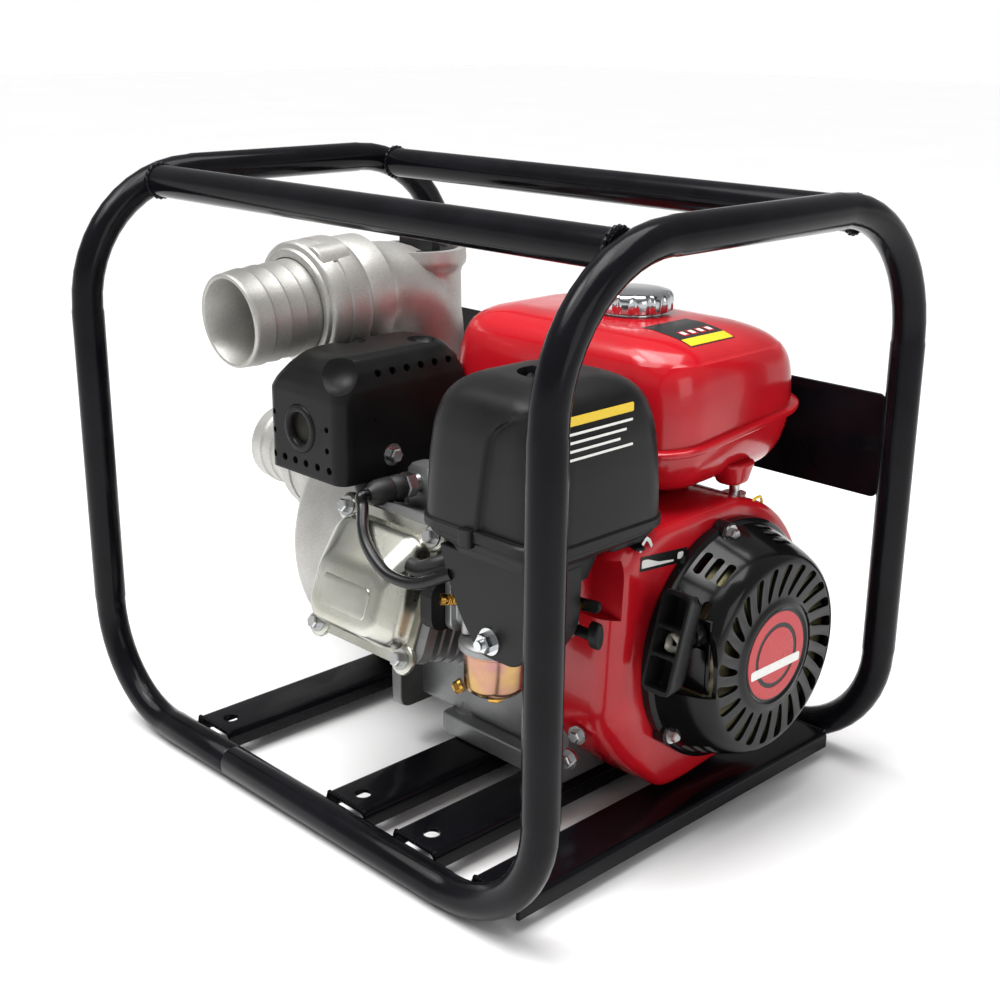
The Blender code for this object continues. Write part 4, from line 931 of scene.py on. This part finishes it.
stop = filleted([(149, 208, 1), (151, 214, 1.5), (156, 218.5, 1.5), (160.5, 215.5, 1.5), (163, 210, 1),
    (161, 209, 0.5), (158.5, 213.5, 1), (156, 215.6, 1), (153, 212, 1), (151, 208, 0.5)])
add_piece("throttle_stop", prism(stop, 443.4, 444.8, side_on), bright_zinc)
add_piece("throttle_trough", slab((392, 444), (122, 160), 4, 214.5, 220.4, upright), abs_black,
    bevel=1.5)
lever = filleted([(396, 171, 4), (396, 159, 4), (408, 157, 4), (448, 141, 2), (452, 147, 2),
    (410, 171, 4)])
add_piece("throttle_arm", prism(lever, 212.2, 214.2, upright), heat_black, body="throttle",
    stands_for=["throttle_lever"], bevel=0.4)

# ---- Recoil starter: a black gloss moulding over the reel, with curved vents round the face, slots
# round the wall and a plain round badge. The grip sits in a pocket at its front edge.

gloss_black = make_material("gloss_black_moulding", "black_plastic", 0x0C0C0D, 1.6, 0.01, (0.12, 0.2),
    tint=0x101011, wear=0.04, Specular_IOR_Level=0.22, Coat_Weight=0.05, Coat_Roughness=0.08)
screen_khaki = make_material("oiled_steel_screen", "machined_steel", 0x8A8462, 0.8, 0.25, (0.4, 0.55),
    0.6, tint=0x6E694E, wear=0.35)
VENTS, VENT_IN, VENT_OUT = 24, 43.5, 68.0
outer = [(91, 443.4), (91, 449.5), (90, 450.6), (87.6, 451.6), (86.4, 455), (83.6, 464), (80.4, 474),
    (77.8, 481), (75, 486.4), (72.4, 489.6), (69, 491.6), (66, 491.8), (44, 490.8), (41, 491.4),
    (39.4, 492.6), (36.5, 492.8), (35.4, 491.8), (34, 491.4)]
inner = [(34, 488), (68, 488.4), (72.2, 484.6), (74.8, 480), (77.8, 472), (81.2, 460), (83.6, 451),
    (86.5, 443.4)]
housing = add_piece("starter_housing", lathe(outer + inner, SHAFT, X, 120), gloss_black,
    stands_for=["recoil_housing"], sharp=45)
cutters = []
for turn in evenly(VENTS):
    left, right = [], []
    for i in range(13):
        t = 0.02 + 0.96 * i / 12
        r = VENT_IN + (VENT_OUT - VENT_IN) * t
        wide = (1.9 + 3.0 * t) * math.sqrt(1 - (2 * t - 1) ** 8)
        swing = turn - 0.15 * t
        middle = Vector((math.cos(swing), math.sin(swing))) * r
        tangent = Vector((-math.sin(swing), math.cos(swing)))
        left.append(middle + tangent * wide)
        right.append(middle - tangent * wide)
    vent = [(SHAFT.y + p.x, SHAFT.z + p.y) for p in left + right[::-1]]
    cutters.append(prism(vent, 486, 496, side_on))
for degrees in (122, 146, 26, 50, 74, 236, 260, 284):
    arm = spoke(math.radians(degrees))
    for row_x in (457, 466, 475):
        cutters.append(skin([[SHAFT + arm * r + X.cross(arm) * a + X * (row_x + b)
            for a, b in rounded((-10, 10), (-2.9, 2.9), 2.6, 4)] for r in (73.5, 92)]))
hand_room = slab((453, 500), (120, 181), 7, 106, 192, upright)
carve(housing, *cutters, hand_room)
screen = add_piece("starter_screen", lathe([(30, 480.5), (71, 480.5), (71, 456), (72, 456), (72, 481.5),
    (30, 481.5)], SHAFT, X), screen_khaki)
carve(screen, hand_room)
add_piece("badge_back", disc(34.2, 487, 491.6, SHAFT, X, 64), gloss_black)
badge = [lathe([(24.5, 491.6), (33, 491.6), (33, 491.9), (24.5, 491.9)], SHAFT, X, 64),
    disc(21, 491.6, 491.9, SHAFT, X, 64)]
add_piece("badge_print", badge, red_ink)
add_piece("badge_bar", prism(rounded((220, 278), (106, 113), 2), 491.7, 492.1, side_on), white_ink)
GRIP_AT, GRIP_LEAN = Vector((471, 158, 148.5)), math.radians(17)
pocket = slab((454, 484), (181, 183.4), 1, 106, 160, upright)
add_piece("grip_pocket", [pocket, lathe([(5, 15), (9, 15), (10, 24), (5, 24)], GRIP_AT, Y, 32)],
    gloss_black)
housing_bosses, housing_bolts = [], []
for degrees in (98, 218, 338):
    at = SHAFT + spoke(math.radians(degrees)) * 86
    housing_bosses.append(lathe([(8.4, 444), (8.4, 453.4), (7.6, 454)], at, X, 32, ring=False))
    housing_bolts.append(hex_bolt(at + X * 454, X, 8, washer=6.6))
add_piece("housing_bosses", housing_bosses, gloss_black)
add_piece("housing_bolts", housing_bolts, bright_zinc)



def grip_point(x, up, out):
    """A point of the T-grip, whose bar leans with its top away from the front."""
    return GRIP_AT + X * x + spoke(GRIP_LEAN, Z, Y) * up - spoke(GRIP_LEAN, Y, -Z) * out


grip = add_piece("pull_grip", stacked(soften([((-7, 8), (-30, 30), 5, -10.6),
    ((-9, 10), (-33, 33), 6, -6), ((-11.5, 13.5), (-36, 36), 6, 9), ((-11, 13), (-35.5, 35.5), 6, 11)],
    1.5), grip_point), abs_black, body="handle", stands_for=["recoil_grip"], sharp=50)
carve(grip, *[stacked([((-8, 10), (a, b), 2, -6), ((-9, 11), (a - 0.4, b + 0.4), 2, 14)], grip_point)
    for a, b in ((-32, -11), (-8.5, 8.5), (11, 32))])
add_piece("grip_stem", lathe([(8.5, 4), (8, 10), (6.5, 17), (6.2, 21.5)], GRIP_AT, Y, 32, ring=False),
    abs_black, body="handle")
cord_white = make_material("braided_nylon_cord", "rope_white", 0xC9C6BA, 1.0, 0.25, (0.7, 0.85),
    tint=0xA8A598, wear=0.3)
KNOT_R = 5.0
knot = [grip_point(KNOT_R * math.cos(a) * (1 + 0.3 * math.sin(3 * a)), KNOT_R * math.sin(a),
    3 * math.sin(2 * a) - 1) for a in [*evenly(48), 2 * math.pi]]
add_piece("rope_knot", skin(rings_along(knot, 2.6, 12)), cord_white, body="handle")
ROPE_R, ROPE_NEAR, ROPE_FAR = 2.0, 14.0, 85.0
rope_line = [GRIP_AT + Y * (ROPE_NEAR + (ROPE_FAR - ROPE_NEAR) * k / 60) for k in range(61)]
rope = add_piece("pull_rope", skin(rings_along(rope_line, ROPE_R, 14)), cord_white)
rope.parent = None
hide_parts("starter_rope")
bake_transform(rope)

# ---- Fuel tank: two deep steel pressings in red gloss enamel, with a seam round the middle that
# climbs a little to the rear. A scalloped chromed cap and a label without words are on the top.

chrome = make_material("chrome_plate", "chrome", 0xC4C6C8, 4.0, 0.004, (0.1, 0.16), 1.0, tint=0xBABCBE,
    wear=0.02)
tank_low, tank_high = [(corner - DATUM) * 1000 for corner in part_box("fuel_tank")]
seam_z = 268.5
tank_x, tank_y = (tank_low.x + 5, tank_high.x - 3), (tank_low.y - 4, tank_high.y - 1)


def tank_level(left, right, front, back, corner, height):
    return ((tank_x[0] + left, tank_x[1] - right), (tank_y[0] + front, tank_y[1] - back), corner,
        height)


def tank_point(u, v, w):
    """The tank's widest line climbs towards the rear; the top and the floor stay level."""
    climb = 0.1 * max(0.0, 1 - abs(w - seam_z) / 55)
    return Vector((u, v, w + (v - (tank_y[0] + tank_y[1]) / 2) * climb))


tank_levels = soften([tank_level(36, 30, 30, 30, 20, 226), tank_level(14, 12, 12, 12, 30, 233),
    tank_level(3, 3, 3, 3, 36, 250), tank_level(0, 0, 0, 0, 38, seam_z),
    tank_level(1, 0, 1, 1, 38, 296), tank_level(4, 3, 4, 4, 38, 315),
    tank_level(10, 12, 10, 13, 36, 327), tank_level(22, 32, 20, 29, 30, 334.5),
    tank_level(40, 54, 34, 48, 22, 337.6)], 9)
seam_levels = [tank_level(-e, -e, -e, -e, 40, seam_z + w) for e, w in ((0, -2.6), (4.4, -2.2),
    (5, -1.2), (5, 1.2), (4.4, 2.2), (0, 2.6))]
tank = add_piece("tank_shell", [stacked(tank_levels, tank_point, 10),
    stacked(seam_levels, tank_point, 10)], red_enamel, stands_for=["fuel_tank"], sharp=50)
CAP_AT = Vector((320.0, 279.0, -3.5))
add_piece("filler_neck", lathe([(25, 336), (23, 343), (22.4, 346), (18, 346), (18, 336)], CAP_AT, Z),
    chrome)
cap_rings = []
cap_profile = ((29, 343.2, 0), (31, 344.2, 1), (31.4, 351, 1), (31, 355, 1), (29.4, 357.2, 0.3),
    (27, 358, 0), (22, 358.4, 0), (0.01, 358.6, 0))
for r, z, scallop in cap_profile:
    sides = [(a, r - 1.7 * scallop * max(0.0, math.cos(15 * a)) ** 2) for a in evenly(180)]
    cap_rings.append([CAP_AT + Vector((wide * math.cos(a), wide * math.sin(a), z))
        for a, wide in sides])
add_piece("tank_cap", skin(cap_rings), chrome, body="cap", stands_for=["fuel_cap"], sharp=60)
tank_skin = BVHTree.FromPolygons([v.co for v in tank.data.vertices],
    [p.vertices for p in tank.data.polygons])


def tank_film(name, ink, xs, ys, lift):
    """Printed film that follows the tank's top between the pairs xs and ys."""
    rings = []
    for x in (xs[0] + (xs[1] - xs[0]) * i / 8 for i in range(9)):
        under, over = [], []
        for y in (ys[0] + (ys[1] - ys[0]) * k / 8 for k in range(9)):
            hit = tank_skin.ray_cast(DATUM + Vector((x, y, 400)) / 1000, -Z)[0]
            under.append((hit - DATUM) * 1000 - Z * 0.2)
            over.append((hit - DATUM) * 1000 + Z * lift)
        rings.append(under + over[::-1])
    add_piece(name, skin(rings), ink)


LABEL_X, LABEL_Y = 366.0, 236.0
tank_film("tank_label", black_ink, (LABEL_X, LABEL_X + 46), (LABEL_Y, LABEL_Y + 50), 0.3)
tank_film("tank_label_band", yellow_ink, (LABEL_X + 36, LABEL_X + 45), (LABEL_Y + 1, LABEL_Y + 49), 0.5)
for k in range(4):
    dot_y = LABEL_Y + 10 + 9.5 * k
    tank_film(f"tank_label_ring_{k}", red_ink, (LABEL_X + 24, LABEL_X + 32), (dot_y, dot_y + 6), 0.5)
    tank_film(f"tank_label_mark_{k}", white_ink, (LABEL_X + 25.5, LABEL_X + 30.5),
        (dot_y + 1, dot_y + 5), 0.7)
tank_bolt = Vector((424, 280, 217))
add_piece("tank_bolts", [hex_bolt(tank_bolt, -Z, 10, washer=9), disc(4, -7, 23, tank_bolt, Z)],
    bright_zinc)
add_piece("tank_foot", stacked([((412, 432), (268, 290), 8, 225), ((408, 435), (264, 296), 10, 242)],
    upright), red_enamel, bevel=3)
add_piece("switch_lead", skin(rings_along(smooth_route([Vector((436, 276, 206)),
    Vector((439, 283, 214)), Vector((439, 292, 215)), Vector((436, 299, 208))]), 1.1, 12)), yellow_ink)
add_piece("tank_strap", slab((222, 384), (216, 282), 6, 216.5, 225, upright), heat_black,
    stands_for=["tank_bracket"], bevel=1)
dipstick = Vector((310, 0, 52))
add_piece("dipstick_cap", [lathe([(14, 345), (14, 355), (12, 357.5), (9, 358)], dipstick, Y, 40,
    ring=False), disc(3, 306, 346, dipstick, Y)], black_nylon, stands_for=["oil_dipstick"], bevel=0.6)

# ---- The working parts inside keep their own solids: turned steel, cast iron, cast aluminium,
# moulded nylon, rubber and foam, each with its own finish.

turned_steel = make_material("ground_steel", "machined_steel", 0x8F9194, 0.5, 0.008, (0.2, 0.34), 1.0,
    tint=0x7F8184)
grey_iron = make_material("grey_cast_iron", "cast_iron", 0x55524E, 1.2, 0.15, (0.5, 0.65), 0.8,
    tint=0x474440, wear=0.2)
filter_foam = make_material("open_cell_foam", "foam", 0x2E2E30, 1.6, 0.8, (0.9, 1.0), tint=0x232325,
    wear=0.35)
inside = {"cast_aluminium": die_cast, "machined_steel": turned_steel, "cast_iron": grey_iron,
    "foam": filter_foam, "rubber": black_rubber, "black_plastic": black_nylon,
    "black_enamel": heat_black, "frame_paint": powder_coat, "red_paint": red_enamel,
    "zinc_steel": bright_cover, "chrome": chrome, "ceramic": white_ink, "rope_white": cord_white,
    "passivated_zinc": passivated}
slot_of = {s["node"]: s["material_slot"] for s in frame["record"]["subparts"]}
for node_name, node in frame["nodes"].items():
    node.data.materials.clear()
    node.data.materials.append(inside[slot_of[node_name]])

# ---- Studio: a pale floor under a sky that fades upwards, a key lamp from the upper left front, a
# soft fill from the right, a broad lamp overhead and a wide ceiling light. The camera looks from the
# front right corner.

floor_paint = bpy.data.materials.new("pale_floor")
floor_paint.use_nodes = True
floor_tree = floor_paint.node_tree
floor_place = add_node(floor_tree, "ShaderNodeTexCoord").outputs["Object"]
floor_cloud = add_node(floor_tree, "ShaderNodeTexNoise", {"Vector": floor_place, "Scale": 2.0})
floor_tone = add_node(floor_tree, "ShaderNodeMapRange", {"Value": floor_cloud.outputs["Fac"],
    "To Min": 0.90, "To Max": 0.94})
floor_tree.links.new(floor_tone.outputs["Result"], floor_tree.nodes["Principled BSDF"].inputs[
    "Base Color"])
floor_tree.nodes["Principled BSDF"].inputs["Roughness"].default_value = 0.7
floor_mesh = bpy.data.meshes.new("floor")
floor_mesh.from_pydata([(-12, -12, -0.0005), (12, -12, -0.0005), (12, 12, -0.0005), (-12, 12, -0.0005)],
    [], [(0, 1, 2, 3)])
floor_mesh.materials.append(floor_paint)
floor = bpy.data.objects.new("floor", floor_mesh)
bpy.context.scene.collection.objects.link(floor)

SKY, SKY_TOP = 1.0, 0.35
world = bpy.data.worlds.new("studio")
world.use_nodes = True
sky_tree = world.node_tree
sky_way = add_node(sky_tree, "ShaderNodeTexCoord").outputs["Generated"]
sky_height = add_node(sky_tree, "ShaderNodeSeparateXYZ", {"Vector": sky_way}).outputs["Z"]
sky_fade = add_node(sky_tree, "ShaderNodeMapRange", {"Value": sky_height, "From Min": 0.04,
    "From Max": 0.22, "To Min": SKY, "To Max": SKY_TOP})
sky_tree.nodes["Background"].inputs["Color"].default_value = (1.0, 1.0, 1.0, 1.0)
sky_tree.links.new(sky_fade.outputs["Result"], sky_tree.nodes["Background"].inputs["Strength"])
bpy.context.scene.world = world
bpy.context.scene.view_settings.view_transform = "Standard"

LIGHTS = {"key": ((-0.6, -0.9, 2.1), 0.6, 11.0), "fill": ((1.9, -0.2, 0.9), 0.9, 5.0),
    "top": ((0.1, 0.1, 1.9), 1.2, 26.0)}
for light_name, (place, size, power) in LIGHTS.items():
    lamp = bpy.data.lights.new(light_name, "AREA")
    lamp.size, lamp.energy = size, power
    lit = bpy.data.objects.new(light_name, lamp)
    lit.location = place
    lit.rotation_euler = (Vector((0, 0, 0.2)) - Vector(place)).to_track_quat("-Z", "Y").to_euler()
    bpy.context.scene.collection.objects.link(lit)

sun = bpy.data.lights.new("ceiling", "SUN")
sun.energy, sun.angle = 2.6, math.radians(50)
sun_lit = bpy.data.objects.new("ceiling", sun)
sun_lit.rotation_euler = (math.radians(18), math.radians(-14), 0)
bpy.context.scene.collection.objects.link(sun_lit)

CAMERA_PLACE, CAMERA_TURN, CAMERA_DIP, CAMERA_ROLL = (0.83559, -0.75886, 0.56389), 45.501, 18.205, 0.523
lens = bpy.data.cameras.new("camera")
lens.lens, lens.sensor_width = 53.2, 36.0
camera = bpy.data.objects.new("camera", lens)
camera.matrix_world = (Matrix.Translation(CAMERA_PLACE) @ Matrix.Rotation(math.radians(CAMERA_TURN), 4,
    "Z") @ Matrix.Rotation(math.radians(90 - CAMERA_DIP), 4, "X") @ Matrix.Rotation(
    math.radians(CAMERA_ROLL), 4, "Z"))
bpy.context.scene.collection.objects.link(camera)
bpy.context.scene.camera = camera
